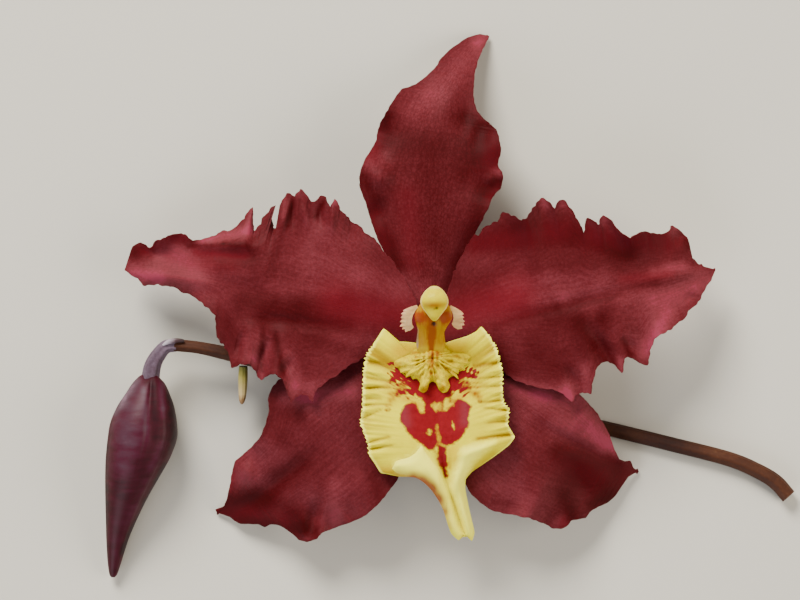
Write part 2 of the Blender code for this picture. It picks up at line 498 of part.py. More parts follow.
def make_anther_cap(material):
    """The cap over the pollen: an egg whose lower end is drawn out into a short beak."""
    bm = bmesh.new()
    bmesh.ops.create_uvsphere(bm, u_segments=16, v_segments=10, radius=1)
    for vert in bm.verts:
        x, y, z = vert.co
        drawn = max(0.0, -y)
        vert.co = Vector((x * (1 - BEAK_TAPER * drawn ** 2), y - BEAK_LENGTH * drawn ** 4 / CAP_RADII[1],
                          max(z, CAP_UNDERSIDE) - BEAK_DROOP * drawn ** 2))
        vert.co = Vector(c + r * v for c, r, v in zip(CAP_CENTRE, CAP_RADII, vert.co)) * MM
    bmesh.ops.remove_doubles(bm, verts=bm.verts, dist=0.00001)
    bmesh.ops.triangulate(bm, faces=bm.faces)
    mesh = bpy.data.meshes.new("anther_cap")
    bm.to_mesh(mesh)
    bm.free()
    return add_node("anther_cap", mesh, material)


def make_crest(material):
    """The crest: two keels that end in knobs, and fingers that spread from between them."""
    pieces = [tube_mesh("keel", [(x, y, CREST_FLOOR + up, r) for x, y, up, r in keel], 2)
              for keel in KEELS]
    hx, hy = CREST_HEART
    for x, y in FINGER_TIPS:
        path = [(hx + (x - hx) * share, hy + (y - hy) * share, CREST_FLOOR + up, r)
                for share, up, r in FINGER]
        pieces.append(tube_mesh("finger", path, 1))
    return joined("crest", pieces[0], pieces[1:], material)


def build():
    red = make_material("tepal red", RED, 0.45)
    make_blade("dorsal_sepal", DORSAL_SEPAL, red)
    make_blade("left_sepal", LEFT_SEPAL, red)
    make_blade("right_sepal", RIGHT_SEPAL, red)
    make_blade("left_petal", LEFT_PETAL, red)
    make_blade("right_petal", RIGHT_PETAL, red)
    make_lip(make_material("lip yellow", YELLOW, 0.4))
    make_crest(make_material("crest yellow", CREST_YELLOW, 0.35))
    make_column(make_material("column orange", ORANGE, 0.35))
    cream = make_material("wing cream", CREAM, 0.4)
    make_wing("left_column_wing", LEFT_WING, cream)
    make_wing("right_column_wing", RIGHT_WING, cream)
    make_anther_cap(make_material("cap yellow", YELLOW, 0.3))
    make_rachis(make_material("stem brown", STEM_BROWN, 0.5))
    add_node("bloom_ovary", tube_mesh("bloom_ovary", BLOOM_OVARY), make_material("ovary green", OVARY_GREEN, 0.5))
    purple = make_material("bud purple", BUD_PURPLE, 0.45)
    add_node("bud_ovary", tube_mesh("bud_ovary", BUD_OVARY), purple)
    make_bud(purple)
    bract = make_material("bract cream", BRACT_CREAM, 0.6)
    add_node("middle_bract", tube_mesh("middle_bract", MIDDLE_BRACT), bract)
    add_node("bud_bract", tube_mesh("bud_bract", BUD_BRACT, 2), bract)
    add_node("bloom_bract", tube_mesh("bloom_bract", BLOOM_BRACT), bract)


clear_scene()
SPRAY = bpy.data.collections.new("cambria orchid spray")
bpy.context.scene.collection.children.link(SPRAY)
STAND = bpy.data.objects.new("table point", None)
STAND.location = (-FOOTPRINT_CENTRE[0] * MM, -FOOTPRINT_CENTRE[1] * MM, 0)
SPRAY.objects.link(STAND)
bpy.context.view_layer.update()
build()
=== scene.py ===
"""A cut spray of cambria orchid on a table, face up: the fine petals, lip, bud and stem around the frame."""

import math

import bpy
import numpy as np
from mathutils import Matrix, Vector, noise


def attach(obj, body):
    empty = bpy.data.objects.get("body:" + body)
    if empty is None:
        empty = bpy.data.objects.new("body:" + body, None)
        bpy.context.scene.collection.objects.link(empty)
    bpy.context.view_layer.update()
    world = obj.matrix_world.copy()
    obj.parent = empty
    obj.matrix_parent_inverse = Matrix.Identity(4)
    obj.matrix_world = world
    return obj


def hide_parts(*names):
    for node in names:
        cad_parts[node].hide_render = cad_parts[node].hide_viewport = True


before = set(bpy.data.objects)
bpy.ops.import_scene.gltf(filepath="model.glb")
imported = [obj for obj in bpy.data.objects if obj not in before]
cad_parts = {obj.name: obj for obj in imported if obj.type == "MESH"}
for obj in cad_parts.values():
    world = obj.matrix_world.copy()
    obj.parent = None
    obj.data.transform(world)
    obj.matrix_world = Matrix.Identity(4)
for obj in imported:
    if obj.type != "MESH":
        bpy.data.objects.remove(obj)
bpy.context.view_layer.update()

# The table, the light and the camera. The camera looks straight down on the spray from far enough
# that heights hardly shift in its view, and the light is soft daylight from above the bloom's top.
MM = 0.001
FOOTPRINT_CENTRE = (3.15, 3.65)  # millimetres on the bloom, as in all the tables below
TABLE_COLOUR, TABLE_ROUGHNESS, TABLE_SIZE = "#c6c0b2", 0.8, 6
CAMERA_HEIGHT, SENSOR_WIDTH, FAR_END = 1.5, 36, 10
VIEW_CENTRE, VIEW_WIDTH = (-4.5, 4.5), 0.12
VIEW_LEVEL = 12  # height in millimetres at which the picture is VIEW_WIDTH across
# Name, place, size, power and colour
LIGHTS = [("window", (-0.35, 0.72, 0.62), 0.5, 23, "#fffdf8"),
          ("side fill", (0.85, -0.1, 0.5), 0.8, 9.5, "#fff6ea"),
          ("lower fill", (-0.55, -0.75, 0.55), 0.8, 8, "#f2f6ff")]
SKY_COLOUR, SKY_STRENGTH = "#e9ebee", 0.3


def linear(hex_colour):
    """An sRGB hex colour as the linear values that Blender's sockets take."""
    parts = [int(hex_colour[k:k + 2], 16) / 255 for k in (1, 3, 5)]
    return (*(c / 12.92 if c < 0.04045 else ((c + 0.055) / 1.055) ** 2.4 for c in parts), 1.0)


def add(tree, kind, inputs=None, stops=(), **settings):
    """Adds one node. inputs are values or links by socket name or number, stops are a ramp's colours."""
    node = tree.nodes.new(kind)
    for key, value in settings.items():
        setattr(node, key, value)
    for key, value in (inputs or {}).items():
        if isinstance(value, bpy.types.NodeSocket):
            tree.links.new(value, node.inputs[key])
        else:
            node.inputs[key].default_value = value
    for k, (place, colour) in enumerate(stops):
        elements = node.color_ramp.elements
        element = elements[k] if k < len(elements) else elements.new(place)
        element.position = place
        element.color = linear(colour)
    return node


def new_material(name):
    """A material with nothing but its shader."""
    material = bpy.data.materials.new(name)
    material.use_nodes = True
    return material


def on_table(x, y, z=0.0):
    """A place on the bloom, in millimetres, as a point of the scene."""
    return Vector((x - FOOTPRINT_CENTRE[0], y - FOOTPRINT_CENTRE[1], z)) * MM


def into_scene(name, data):
    """A new object that shows this data."""
    obj = bpy.data.objects.new(name, data)
    bpy.context.scene.collection.objects.link(obj)
    return obj


table_material = new_material("pale plaster table")
finish = table_material.node_tree.nodes["Principled BSDF"].inputs
finish["Base Color"].default_value = linear(TABLE_COLOUR)
finish["Roughness"].default_value = TABLE_ROUGHNESS
bpy.ops.mesh.primitive_plane_add(size=TABLE_SIZE)
table = bpy.context.object
table.name = "table"
table.data.materials.append(table_material)

camera = into_scene("camera", bpy.data.cameras.new("camera"))
camera.location = on_table(*VIEW_CENTRE) + Vector((0, 0, CAMERA_HEIGHT))
camera.data.sensor_width = SENSOR_WIDTH
camera.data.lens = SENSOR_WIDTH * (CAMERA_HEIGHT - VIEW_LEVEL * MM) / VIEW_WIDTH
camera.data.clip_end = FAR_END
bpy.context.scene.camera = camera

for name, place, size, power, colour in LIGHTS:
    light = into_scene(name, bpy.data.lights.new(name, "AREA"))
    light.data.shape = "DISK"
    light.data.size = size
    light.data.energy = power
    light.data.color = linear(colour)[:3]
    light.location = place
    light.rotation_euler = (-Vector(place)).to_track_quat("-Z", "Y").to_euler()
world = bpy.data.worlds.new("studio")
world.use_nodes = True
world.node_tree.nodes["Background"].inputs["Color"].default_value = linear(SKY_COLOUR)
world.node_tree.nodes["Background"].inputs["Strength"].default_value = SKY_STRENGTH
bpy.context.scene.world = world


# The tepals: three sepals behind and two petals in front, soft crimson blades with waved edges that
# grow out of the top of the ovary. Each is a fine sheet between its rib and its outline, with the
# folds of the real blade pressed in, then given a body that thins out to the edge.
TEPAL_BODY, EDGE_BODY = 0.5, 0.3  # thickness in millimetres at the rib, and its share at the edge
EDGE_ZONE = 0.22  # share of a sheet's rows in which its body thins
TEPAL_GRID = (460, 20)  # columns from base to tip, and rows from rib to edge
TEPAL_HALF_WIDTH, MAP_UNIT = 12, 10  # millimetres
SEPAL_SEAT, PETAL_SEAT = 10.4, 11.4  # heights at which they leave the bloom's heart
BASE_TONE = 0.06
CRINKLE, CRINKLE_PITCH = 0.22, 3.2
TOOTH_PITCH, TOOTH_SEEDS = 0.75, (4.4, 9.7)
SMALLEST_STEP = 0.004  # share of a blade's length from one point of its outline to the next
OUTLINE_STEPS, RIB_STEPS, OUTLINE_PULL = 6, 8, 0.5
CALM_PART = 26  # the waves of an outline shorter than this part of the blade are teeth
ROW_CROWDING, TOOTH_FADE, FOLD_FADE = 1.25, 4, 1.3

# Each tepal holds its rib and the outline on each side from base to tip, the waves of each edge as
# (share of the length, lift, roll), and its folds as (x, y, x, y, half width, height) ridges. Its
# painted light and shade, highlights where the blade faces the light and shade in its folds, hollows
# and under its curled edges, and its painted glows, where light comes through and the red burns
# clear, are both strokes (x, y, x, y, radius, strength). Last come the reach of the fine teeth of its
# left and right side, and how clearly its net of veins shows.
TEPALS = {
    "dorsal_sepal": {
        "rib": [
            (0.1, 0.5, SEPAL_SEAT), (0.2, 6, 10.6), (0.2, 14, 10.9), (0.5, 22, 10.9), (1.2, 29, 9.9),
            (2.9, 35.5, 7.4), (5.8, 41, 3.9), (9.0, 44.4, 0.75)],
        "left": [
            (-1.2, 0.6), (-2.4, 3.5), (-4.0, 7), (-5.8, 10), (-7.6, 13), (-8.6, 15.6), (-9.3, 18),
            (-10.1, 20.1), (-10.6, 21.8), (-10.5, 23.4), (-10.0, 25.2), (-9.0, 26.8), (-8.2, 28.2),
            (-7.9, 29.6), (-7.3, 31.4), (-6.3, 33.2), (-5.2, 34.9), (-4.3, 36.2), (-2.4, 36.9),
            (-0.8, 38), (0.6, 39.4), (1.7, 40.9), (2.9, 42.2), (4.3, 43.2), (5.8, 44.2), (7.6, 44.7),
            (9.0, 44.4)],
        "right": [
            (1.2, 0.6), (2.2, 3.5), (3.4, 7), (4.6, 10), (6.0, 13), (7.6, 16), (8.8, 18.4), (9.5, 20),
            (10.5, 21.1), (11.0, 22.6), (10.8, 23.8), (10.2, 24.7), (10.5, 26), (10.6, 27.4),
            (10.3, 29.2), (9.8, 30.3), (8.4, 31.5), (7.3, 32.7), (6.8, 34), (6.6, 35.8), (6.7, 38),
            (7.1, 40), (7.6, 41.6), (8.3, 43), (9.0, 44.4)],
        "left_waves": [
            (0, 0, 0), (0.3, -0.2, 0), (0.48, 1.0, 0), (0.6, -1.0, 0.2), (0.69, 0.9, 0), (0.8, -0.4, 0.1),
            (1, 0, 0)],
        "right_waves": [
            (0, 0, 0), (0.3, -0.2, 0), (0.43, 0.6, 0), (0.5, -0.7, 0.1), (0.56, 0.3, 0),
            (0.65, 1.3, -0.2), (0.78, 0.2, 0), (1, 0, 0)],
        "folds": [
            (-9.5, 22.5, -5, 23.5, 1.6, 0.9), (-9.5, 18.5, -6, 17, 1.8, -0.6),
            (-9, 26, -5.5, 27, 1.5, -0.5), (10, 22.5, 8, 22.8, 0.9, 0.5), (9.5, 29, 6, 30, 2.2, -0.7),
            (4.6, 28, 6.6, 36, 1.4, -0.5), (1, 30, 6, 41, 1.3, 0.35)],
        "painted_light_and_shade": [
            (7.2, 43.4, 8.2, 44.2, 1.0, 0.35), (6.5, 42, 0.5, 35.2, 2.4, 0.24),
            (0, 35.5, -3, 33, 2.0, 0.12), (-2, 32, 2, 29, 2.4, 0.06), (-6.5, 32, -7.2, 28.7, 1.2, -0.32),
            (-9.6, 25.4, -7, 26.2, 1.5, 0.14), (-9.9, 22.6, -7.6, 19.5, 1.2, -0.24),
            (-8.6, 18.2, -4.8, 9.5, 1.1, -0.3), (5, 32, 9.6, 29.4, 1.3, -0.28),
            (9.8, 29, 8.6, 25.2, 1.7, -0.45), (9.8, 23.9, 10.4, 23.6, 0.8, 0.3),
            (10.2, 22, 8.4, 20, 0.9, -0.3), (8.0, 21, 6.0, 13, 1.4, -0.24), (4.6, 11, 2.8, 6, 0.9, -0.2),
            (0.6, 27, 0.4, 10, 2.4, -0.1), (-6, 8, 0, 5, 2.2, 0.24), (8, 28, 5, 24, 2.0, -0.2),
            (-8.6, 24, -7.8, 21, 1.2, 0.14), (0, 11, 1.4, 9, 1.2, 0.14), (-5, 28, 5, 28, 2.0, -0.16)],
        "painted_glows": [
            (-3.4, 20, -2.6, 10, 1.8, 0.2), (9.8, 29, 9.0, 25.2, 1.6, 0.24),
            (-8.8, 18.4, -6.6, 12.6, 1.1, 0.2), (-9.2, 26, -7.4, 29, 1.0, 0.24),
            (10, 21.6, 8.6, 19.6, 0.8, 0.2)],
        "teeth": (0.06, 0.06), "net": 1.0,
    },
    "left_sepal": {
        "rib": [
            (-0.9, -1.9, SEPAL_SEAT), (-7, -8.4, 10.6), (-13, -14.2, 10.4), (-19.5, -19.8, 8.9),
            (-26, -24.6, 5.3), (-32.2, -27.6, 0.75)],
        "left": [
            (-0.2, -2.9), (-1.2, -8), (-2.4, -14), (-3.4, -18.5), (-4.8, -22.3), (-6.2, -24.3),
            (-7.4, -25.8), (-8.8, -27.2), (-10.6, -28.4), (-12.6, -29.2), (-14.6, -29.9), (-16.4, -30.6),
            (-17.0, -31.4), (-18.6, -31.9), (-19.8, -31.6), (-20.9, -30.6), (-22, -29.8), (-23.2, -29.4),
            (-24.2, -29.4), (-24.9, -29.8), (-25.8, -29.4), (-27.2, -29.3), (-28.6, -29.3),
            (-29.6, -28.8), (-30.3, -28.3), (-32.2, -27.6)],
        "right": [
            (-1.9, -1.6), (-8, -3.7), (-14, -5.1), (-19, -6.3), (-22.6, -7.4), (-23.8, -8.8),
            (-24.3, -10.4), (-24.2, -12.2), (-24.6, -14), (-25.4, -15.8), (-26.7, -17.4), (-28.2, -18.8),
            (-29.3, -19.8), (-29.8, -21.2), (-30.1, -23.2), (-30.5, -25), (-31, -26.6), (-32.2, -27.6)],
        "left_waves": [
            (0, 0, 0), (0.3, -0.3, 0), (0.5, 0.5, 0), (0.63, -0.2, 0.3), (0.7, -1.2, 0.3), (0.78, 1.0, 0),
            (0.88, -0.4, 0), (1, 0, 0)],
        "right_waves": [
            (0, 0, 0), (0.35, -0.4, 0), (0.55, -0.3, 0.2), (0.68, 0.7, 0), (0.8, -0.9, 0.3),
            (0.92, 0.3, 0), (1, 0, 0)],
        "folds": [
            (-15, -17.2, -32, -29.3, 1.5, -0.9), (-26, -21, -29.5, -21.5, 1.8, 1.0),
            (-15.6, -25, -16.4, -33, 0.7, 0.6), (-17.4, -25, -18.2, -33, 0.9, -0.9),
            (-9, -17, -13, -28, 2.4, 0.6), (-22, -14, -25, -13, 2.0, -0.4)],
        "painted_light_and_shade": [
            (-30.5, -27, -25.0, -25.6, 2.0, -0.38), (-26, -25.8, -19, -20.2, 1.3, -0.2),
            (-28, -28.8, -19.5, -30, 1.1, -0.34), (-21, -27.6, -17.8, -30.4, 1.2, -0.3),
            (-28.0, -20.8, -24, -18.8, 2.2, 0.2), (-27, -18.0, -24.5, -16.8, 1.3, 0.18),
            (-14.2, -23.4, -15.2, -29, 1.7, 0.24), (-11, -22, -11, -27.4, 2.2, 0.12),
            (-22.6, -10.5, -19.5, -13, 1.6, -0.14), (-8.6, -22, -7.6, -25, 0.9, -0.12),
            (-18.5, -31.2, -18, -31, 0.7, 0.2), (-12, -10, -14, -17, 3.0, 0.14),
            (-20, -15.5, -22, -17, 2.0, 0.1), (-18, -23.5, -21, -25, 1.2, 0.1),
            (-19.5, -9, -17.5, -12, 2.2, 0.26), (-28.2, -22.6, -24.8, -23.4, 1.5, 0.28),
            (-18.2, -26, -17.8, -25.4, 1.0, 0.2), (-14, -27.4, -14, -28.6, 1.0, 0.16),
            (-22, -10.6, -12, -9.0, 1.3, 0.3), (-24, -17, -22, -16.4, 1.6, -0.16)],
        "painted_glows": [(-29.9, -22, -30.4, -24, 0.6, 0.4), (-30.5, -27.2, -22, -28.6, 1.6, 0.2)],
        "teeth": (0.05, 0.05), "net": 0.2,
    },
    "right_sepal": {
        "rib": [
            (1.1, -1.9, SEPAL_SEAT), (7.5, -6.8, 10.7), (14, -11.8, 10.6), (20.5, -16.4, 9.2),
            (26.5, -19.7, 5.6), (31.6, -21.4, 0.75)],
        "left": [
            (1.9, -1.4), (9, -4.6), (15, -6.8), (19.5, -8.3), (22.4, -9.6), (23.8, -10.9), (25.2, -12.6),
            (26.3, -14.4), (27.2, -16.2), (27.9, -18.2), (28.5, -19.5), (29.5, -20), (30.3, -19.9),
            (30.8, -20.8), (31.6, -21.4)],
        "right": [
            (0.4, -2.9), (1.8, -8), (3.0, -14), (4.2, -19.5), (5.1, -22.6), (5.8, -24.2), (7.2, -25.6),
            (8.8, -26.9), (10.6, -27.5), (13, -27.9), (15.2, -28.4), (17, -29.1), (18.6, -29.9),
            (19.8, -30), (20.6, -29.7), (21.3, -28.8), (22.4, -28.5), (23.5, -28.3), (24.2, -27.4),
            (25.6, -26.6), (27, -26), (28.2, -24.9), (29, -23.6), (29.6, -22.4), (31.6, -21.4)],
        "left_waves": [
            (0, 0, 0), (0.35, -0.4, 0), (0.6, 0.2, 0.2), (0.78, -0.8, 0.3), (0.9, 0.4, 0), (1, 0, 0)],
        "right_waves": [
            (0, 0, 0), (0.3, -0.3, 0), (0.5, 0.5, 0), (0.62, -0.6, 0.2), (0.7, 0.9, 0), (0.8, -0.5, 0),
            (0.9, 0.4, 0), (1, 0, 0)],
        "folds": [
            (13, -13.4, 30, -20.8, 1.0, -0.8), (20, -19, 25, -27, 1.8, -0.9),
            (14, -19, 18, -28, 1.8, 0.6), (21.5, -13, 24, -14, 1.6, 0.5), (26, -21, 28, -24.5, 1.2, 0.4)],
        "painted_light_and_shade": [
            (19.5, -13.2, 26, -16.8, 2.4, 0.24), (11.5, -8.6, 16.5, -10.5, 2.2, 0.16),
            (19.5, -18.2, 28, -21.0, 1.5, -0.34), (22, -21.5, 27.5, -23.6, 2.4, -0.34),
            (24.4, -26.4, 27, -25.4, 1.0, -0.3), (20.4, -25, 21.4, -28, 1.2, -0.3),
            (9, -22, 15.4, -25.4, 2.8, 0.28), (9, -26.9, 17, -28.3, 0.8, 0.12),
            (27.2, -16.8, 28.2, -19.2, 0.6, 0.2), (10, -11, 14, -13, 2.2, 0.2),
            (11, -14.4, 17, -18, 1.8, 0.08), (8, -17, 12.6, -19.6, 1.6, 0.2),
            (22.4, -11, 26.4, -17.4, 1.8, 0.28), (17.6, -10, 16.5, -9.4, 1.6, 0.16),
            (15, -24, 16.4, -24.4, 1.0, -0.14), (18.8, -29.2, 19.8, -28.4, 0.7, 0.2),
            (10.5, -8.2, 20, -10.6, 1.2, 0.2), (19, -15, 21, -15.6, 1.6, 0.14)],
        "painted_glows": [(20, -29, 20.3, -29.4, 0.8, 0.4), (21, -20.5, 29, -22.5, 2.4, 0.2)],
        "teeth": (0.05, 0.06), "net": 0.2,
    },
    "left_petal": {
        "rib": [
            (-1.1, 0.0, PETAL_SEAT), (-9, 2.4, 12.1), (-18, 4.2, 12.6), (-27, 6.2, 11.9), (-36, 8.2, 9.8),
            (-46, 9.0, 6.2)],
        "left": [
            (-0.9, -1.5), (-4, -2.2), (-8, -3.4), (-11.6, -5.1), (-14, -6.7), (-16.2, -8.3),
            (-17.3, -9.3), (-17.7, -10.8), (-18.4, -9.9), (-19.4, -9.6), (-20.2, -10.2), (-20.8, -10.8),
            (-21.3, -9.6), (-21.8, -8.2), (-22.4, -7.1), (-23.2, -6.6), (-24.4, -6.9), (-25.4, -7.5),
            (-26.1, -6.3), (-26.8, -5.3), (-28.4, -5.1), (-29.8, -5.5), (-30.1, -3.8), (-31, -2.3),
            (-31.9, -1.4), (-32, 0.4), (-32.1, 2.1), (-33.2, 3.2), (-34.6, 4.3), (-36.6, 5.4),
            (-38.8, 6.4), (-41.4, 6.9), (-42.8, 6.6), (-43.9, 7.5), (-45, 8.3), (-46, 9.0)],
        "right": [
            (-1.1, 1.2), (-2.4, 5.2), (-4.2, 8.4), (-6.5, 11.3), (-8.3, 13.6), (-10.5, 15.4), (-12, 16.6),
            (-13.4, 18.2), (-14.2, 19.6), (-15, 18.6), (-15.7, 20.1), (-16.4, 20), (-17.2, 19.2),
            (-18.2, 19.9), (-19.4, 21.2), (-20.4, 20.1), (-21.5, 20.5), (-22.5, 18.8), (-22.7, 15.8),
            (-23.3, 15.2), (-23.8, 17.4), (-23.2, 18.7), (-24.7, 17.4), (-25.6, 15.8), (-26.3, 15),
            (-26.7, 18.2), (-28, 16.8), (-29.6, 15.4), (-31.6, 14.5), (-34, 13.7), (-35.8, 13.4),
            (-37.4, 14.6), (-39.4, 14.1), (-41, 13.3), (-42, 12.3), (-43.4, 13.1), (-44.8, 12.5),
            (-45.4, 10.8), (-46, 9.0)],
        "left_waves": [
            (0, 0, 0), (0.2, 0, 0), (0.36, -0.5, 0), (0.44, 0.9, 0), (0.49, -0.7, 0), (0.55, 0.8, 0.2),
            (0.61, -0.9, 0), (0.68, 0.7, 0), (0.78, -0.6, 0.2), (0.9, -0.9, 0.2), (1, 0, 0)],
        "right_waves": [
            (0, 0, 0), (0.15, 0.3, 0), (0.28, -1.2, 0.3), (0.36, 0.2, 0), (0.43, -1.4, 0), (0.5, -0.2, 0),
            (0.55, -1.6, 0.9), (0.7, -0.9, 1.0), (0.77, 0.2, 0), (0.88, 1.3, -0.5), (0.96, 0.6, 0),
            (1, 0, 0)],
        "folds": [
            (-24, 12.6, -36, 12.9, 0.9, 0.9), (-24, 11.0, -36, 11.4, 1.1, -0.5),
            (-22.6, 14, -21, 19.8, 0.5, 0.6), (-16, 15, -16.9, 19.6, 0.5, -0.7),
            (-18.0, 14.6, -19.2, 19.6, 0.45, 0.8), (-20.6, 14.6, -20.6, 20.4, 0.4, -0.6),
            (-14.6, 14.5, -14.6, 19.2, 0.45, 0.6), (-12, 0.2, -30, 2.2, 0.8, -0.7),
            (-24, -1, -26, -6, 0.7, -0.8), (-28, 0, -29.2, -4.5, 0.7, -0.7),
            (-20.5, -4, -22.6, -7.4, 0.8, -0.7), (-38, 11, -44, 12.3, 1.2, -0.9),
            (-30, 6.6, -44.5, 9.2, 1.2, 0.7)],
        "painted_light_and_shade": [
            (-44.4, 8.6, -35, 8.2, 2.2, 0.24), (-40.4, 11.4, -36, 10.6, 1.6, 0.28),
            (-34, 8.0, -28, 9.5, 2.2, 0.14), (-34.2, 13.4, -27.4, 14.9, 0.9, 0.4),
            (-27.2, 15, -26.7, 17.6, 0.9, 0.3), (-35, 12.0, -27, 11.6, 1.1, -0.18),
            (-44.4, 11.6, -43, 12, 1.0, -0.3), (-38.5, 14.0, -36, 13.2, 0.9, -0.24),
            (-18.5, 10.6, -14, 9.4, 3.6, 0.2), (-17, 15, -12, 14, 2.2, 0.14),
            (-25, 1.7, -12.5, 0.9, 1.3, -0.2), (-28.4, 4.6, -20, 3.2, 1.2, -0.16),
            (-24, 6.4, -14, 5.4, 1.2, 0.14), (-30.4, 1.4, -29.2, -2.2, 0.9, -0.12),
            (-27.8, -1.6, -27.9, -3.8, 1.1, 0.14), (-25.1, -0.2, -25.3, -5.2, 0.45, -0.22),
            (-24.2, -2, -24.6, -5.4, 0.7, 0.16), (-23.2, -0.4, -22.1, -6.4, 0.45, -0.28),
            (-21.2, -3.6, -20.2, -8, 1.2, 0.22), (-25.3, -7, -25.4, -7.3, 0.7, 0.26),
            (-20.4, -8.4, -20.6, -10.4, 0.7, 0.12), (-17.9, -8.4, -17.7, -10.4, 0.7, 0.12),
            (-18.4, -1.2, -13, -2.6, 1.0, -0.1), (-15.7, -4.6, -12.5, -5.2, 2.0, 0.1),
            (-19.6, 20.4, -19.4, 20.9, 0.7, 0.2), (-14.3, 19.2, -14.2, 19.6, 0.6, 0.36),
            (-16, 19.2, -17.2, 17.0, 0.4, -0.3), (-20.6, 19.4, -21.4, 15.8, 0.4, -0.3),
            (-18.4, 18.6, -18.4, 16, 0.5, 0.14), (-21.8, 19.8, -22, 17, 0.4, 0.2),
            (-40.4, 7.6, -37, 7, 1.6, 0.08), (-38, 12.4, -31, 12.2, 1.1, 0.2),
            (-31, 10.2, -27, 10, 1.2, -0.16), (-19, 3.6, -13, 4.2, 1.8, -0.18),
            (-10, 7.4, -4, 6, 2.6, 0.22), (-20, -8.4, -13, -8.6, 1.6, 0.2),
            (-26.6, -4.2, -26.2, -4.6, 0.8, 0.3), (-35, 5.6, -30, 5, 1.4, 0.1),
            (-14, -1.6, -8, -1.6, 1.6, 0.14), (-44.4, 8.4, -41, 7.6, 1.4, 0.26),
            (-25.6, -0.6, -26, -4, 1.2, 0.2), (-36.4, 12.5, -31, 12.9, 0.3, -0.24),
            (-31, 12.9, -27.4, 12.6, 0.35, -0.3)],
        "painted_glows": [
            (-14, 4.4, -3, 1.4, 3.0, 0.5), (-36, 9.8, -30, 9.6, 1.2, 0.2),
            (-35, 11.7, -28, 11.4, 0.9, 0.4), (-43, 11.8, -37, 14, 1.0, 0.3)],
        "teeth": (0.14, 0.16), "net": 0.3,
    },
    "right_petal": {
        "rib": [
            (1.1, 0.0, PETAL_SEAT), (9, 2.4, 12.1), (18, 4.3, 12.6), (27, 6.3, 12.1), (35, 8.1, 10.1),
            (43, 9.0, 6.6)],
        "left": [
            (1.1, 1.2), (2.4, 5), (3.6, 8.6), (5, 11.7), (6.4, 14.3), (7.3, 14.2), (7.8, 15.2), (9.1, 16),
            (10.1, 16.2), (11, 17.8), (12.4, 17.1), (13.7, 16.3), (14.9, 17.3), (15.9, 19), (17, 19.9),
            (17.8, 19.1), (18.6, 18.2), (19.3, 19.1), (19.9, 19.6), (20.8, 18.5), (21.8, 17.1),
            (22.5, 15.6), (22.9, 14.1), (23.3, 15), (23.6, 16.7), (24.5, 16.3), (25.3, 15.7),
            (25.8, 17.3), (26.9, 16.6), (28.2, 14.9), (29.9, 13.7), (31.8, 14.7), (33.6, 14.5),
            (35.4, 14.5), (36.4, 15.7), (38, 14.8), (38.9, 13.6), (39.2, 11.2), (40.4, 10.1), (43, 9.0)],
        "right": [
            (0.9, -1.5), (4, -2.2), (7, -3.6), (10, -5.6), (12.2, -7.2), (14.2, -8.1), (16.4, -8.7),
            (18.6, -9), (20, -9.5), (21.2, -10.8), (22, -9.6), (22.9, -9.4), (24.1, -9.6), (24.3, -7.6),
            (24.9, -5.8), (25.8, -4.8), (27.2, -4.9), (28.8, -6.3), (29, -4.8), (29.7, -4), (31.2, -4.6),
            (32.6, -5.4), (33, -3.2), (33.6, -1.5), (34.8, -0.5), (36.4, 0.3), (38, 1.6), (39.3, 3.1),
            (40.5, 4.5), (41.5, 6.1), (42.3, 7.6), (43, 9.0)],
        "left_waves": [
            (0, 0, 0), (0.15, 0.3, 0), (0.3, 0.9, 0), (0.39, 1.9, 0), (0.45, 0.9, 0), (0.5, 1.5, -0.2),
            (0.57, 0.6, 0), (0.64, 1.8, -0.3), (0.75, 2.1, -0.4), (0.86, 0.2, 0), (0.93, -0.7, 0),
            (1, 0, 0)],
        "right_waves": [
            (0, 0, 0), (0.3, -0.2, 0), (0.44, -0.6, 0), (0.5, 0.8, 0), (0.56, -0.8, 0), (0.63, 0.4, 0),
            (0.69, -0.9, 0), (0.76, 1.2, -0.2), (0.88, 0.9, 0), (1, 0, 0)],
        "folds": [
            (8, 0.6, 36, 7.8, 0.8, -0.6), (23, 1.5, 28, -6, 1.0, -0.9),
            (28.5, -0.5, 31.5, -4.2, 0.8, -0.8), (20, -5, 22.5, -9, 0.8, -0.6),
            (12, 9, 30, 9.5, 2.6, 0.4), (36.5, 13, 38.5, 15.2, 0.8, -0.6), (38, 5, 41, 4.6, 0.7, -0.6),
            (30, 7.0, 42, 9.1, 1.1, 0.6)],
        "painted_light_and_shade": [
            (7, 13.2, 13.6, 14.2, 1.6, -0.24), (13.6, 14.6, 21, 14.4, 1.9, -0.34),
            (23.6, 13.8, 29.6, 11.8, 1.5, -0.4), (29, 12.6, 35.4, 13.4, 1.5, -0.36),
            (17.2, 18.6, 17, 19.6, 0.7, 0.3), (19.9, 18.6, 19.9, 19.2, 0.6, 0.24),
            (25.9, 16, 26, 17, 0.6, 0.3), (36.4, 14.4, 36.8, 15.2, 0.9, 0.36),
            (38.6, 13.4, 38.9, 12.4, 0.6, -0.2), (6, 10.4, 13, 9.4, 1.8, 0.14),
            (12, 6.8, 26, 8.4, 2.0, 0.24), (20, 10.4, 27, 10.4, 1.4, 0.1), (10, 0.6, 19, 3.2, 0.7, -0.2),
            (19, 3.2, 34, 7.1, 0.6, -0.16), (18, 1.6, 26, 2.0, 1.4, -0.14),
            (22.5, 0.6, 24, -2.4, 1.6, -0.24), (25.6, 1.4, 27.4, -4.6, 1.3, -0.3),
            (9.6, -2.4, 12, -6.0, 1.2, -0.2), (15.5, -3.0, 19, -5.4, 1.8, -0.12),
            (30, 4.2, 33.4, 0.6, 2.6, 0.16), (34, 4.6, 41.4, 7.4, 2.0, 0.32),
            (35.6, 2.4, 32, -4.0, 1.2, 0.2), (33.5, 8.8, 38, 9.6, 0.9, 0.24),
            (23.2, -5.6, 23.6, -9, 1.0, 0.24), (20.7, -8.0, 21.1, -10.4, 0.9, 0.26),
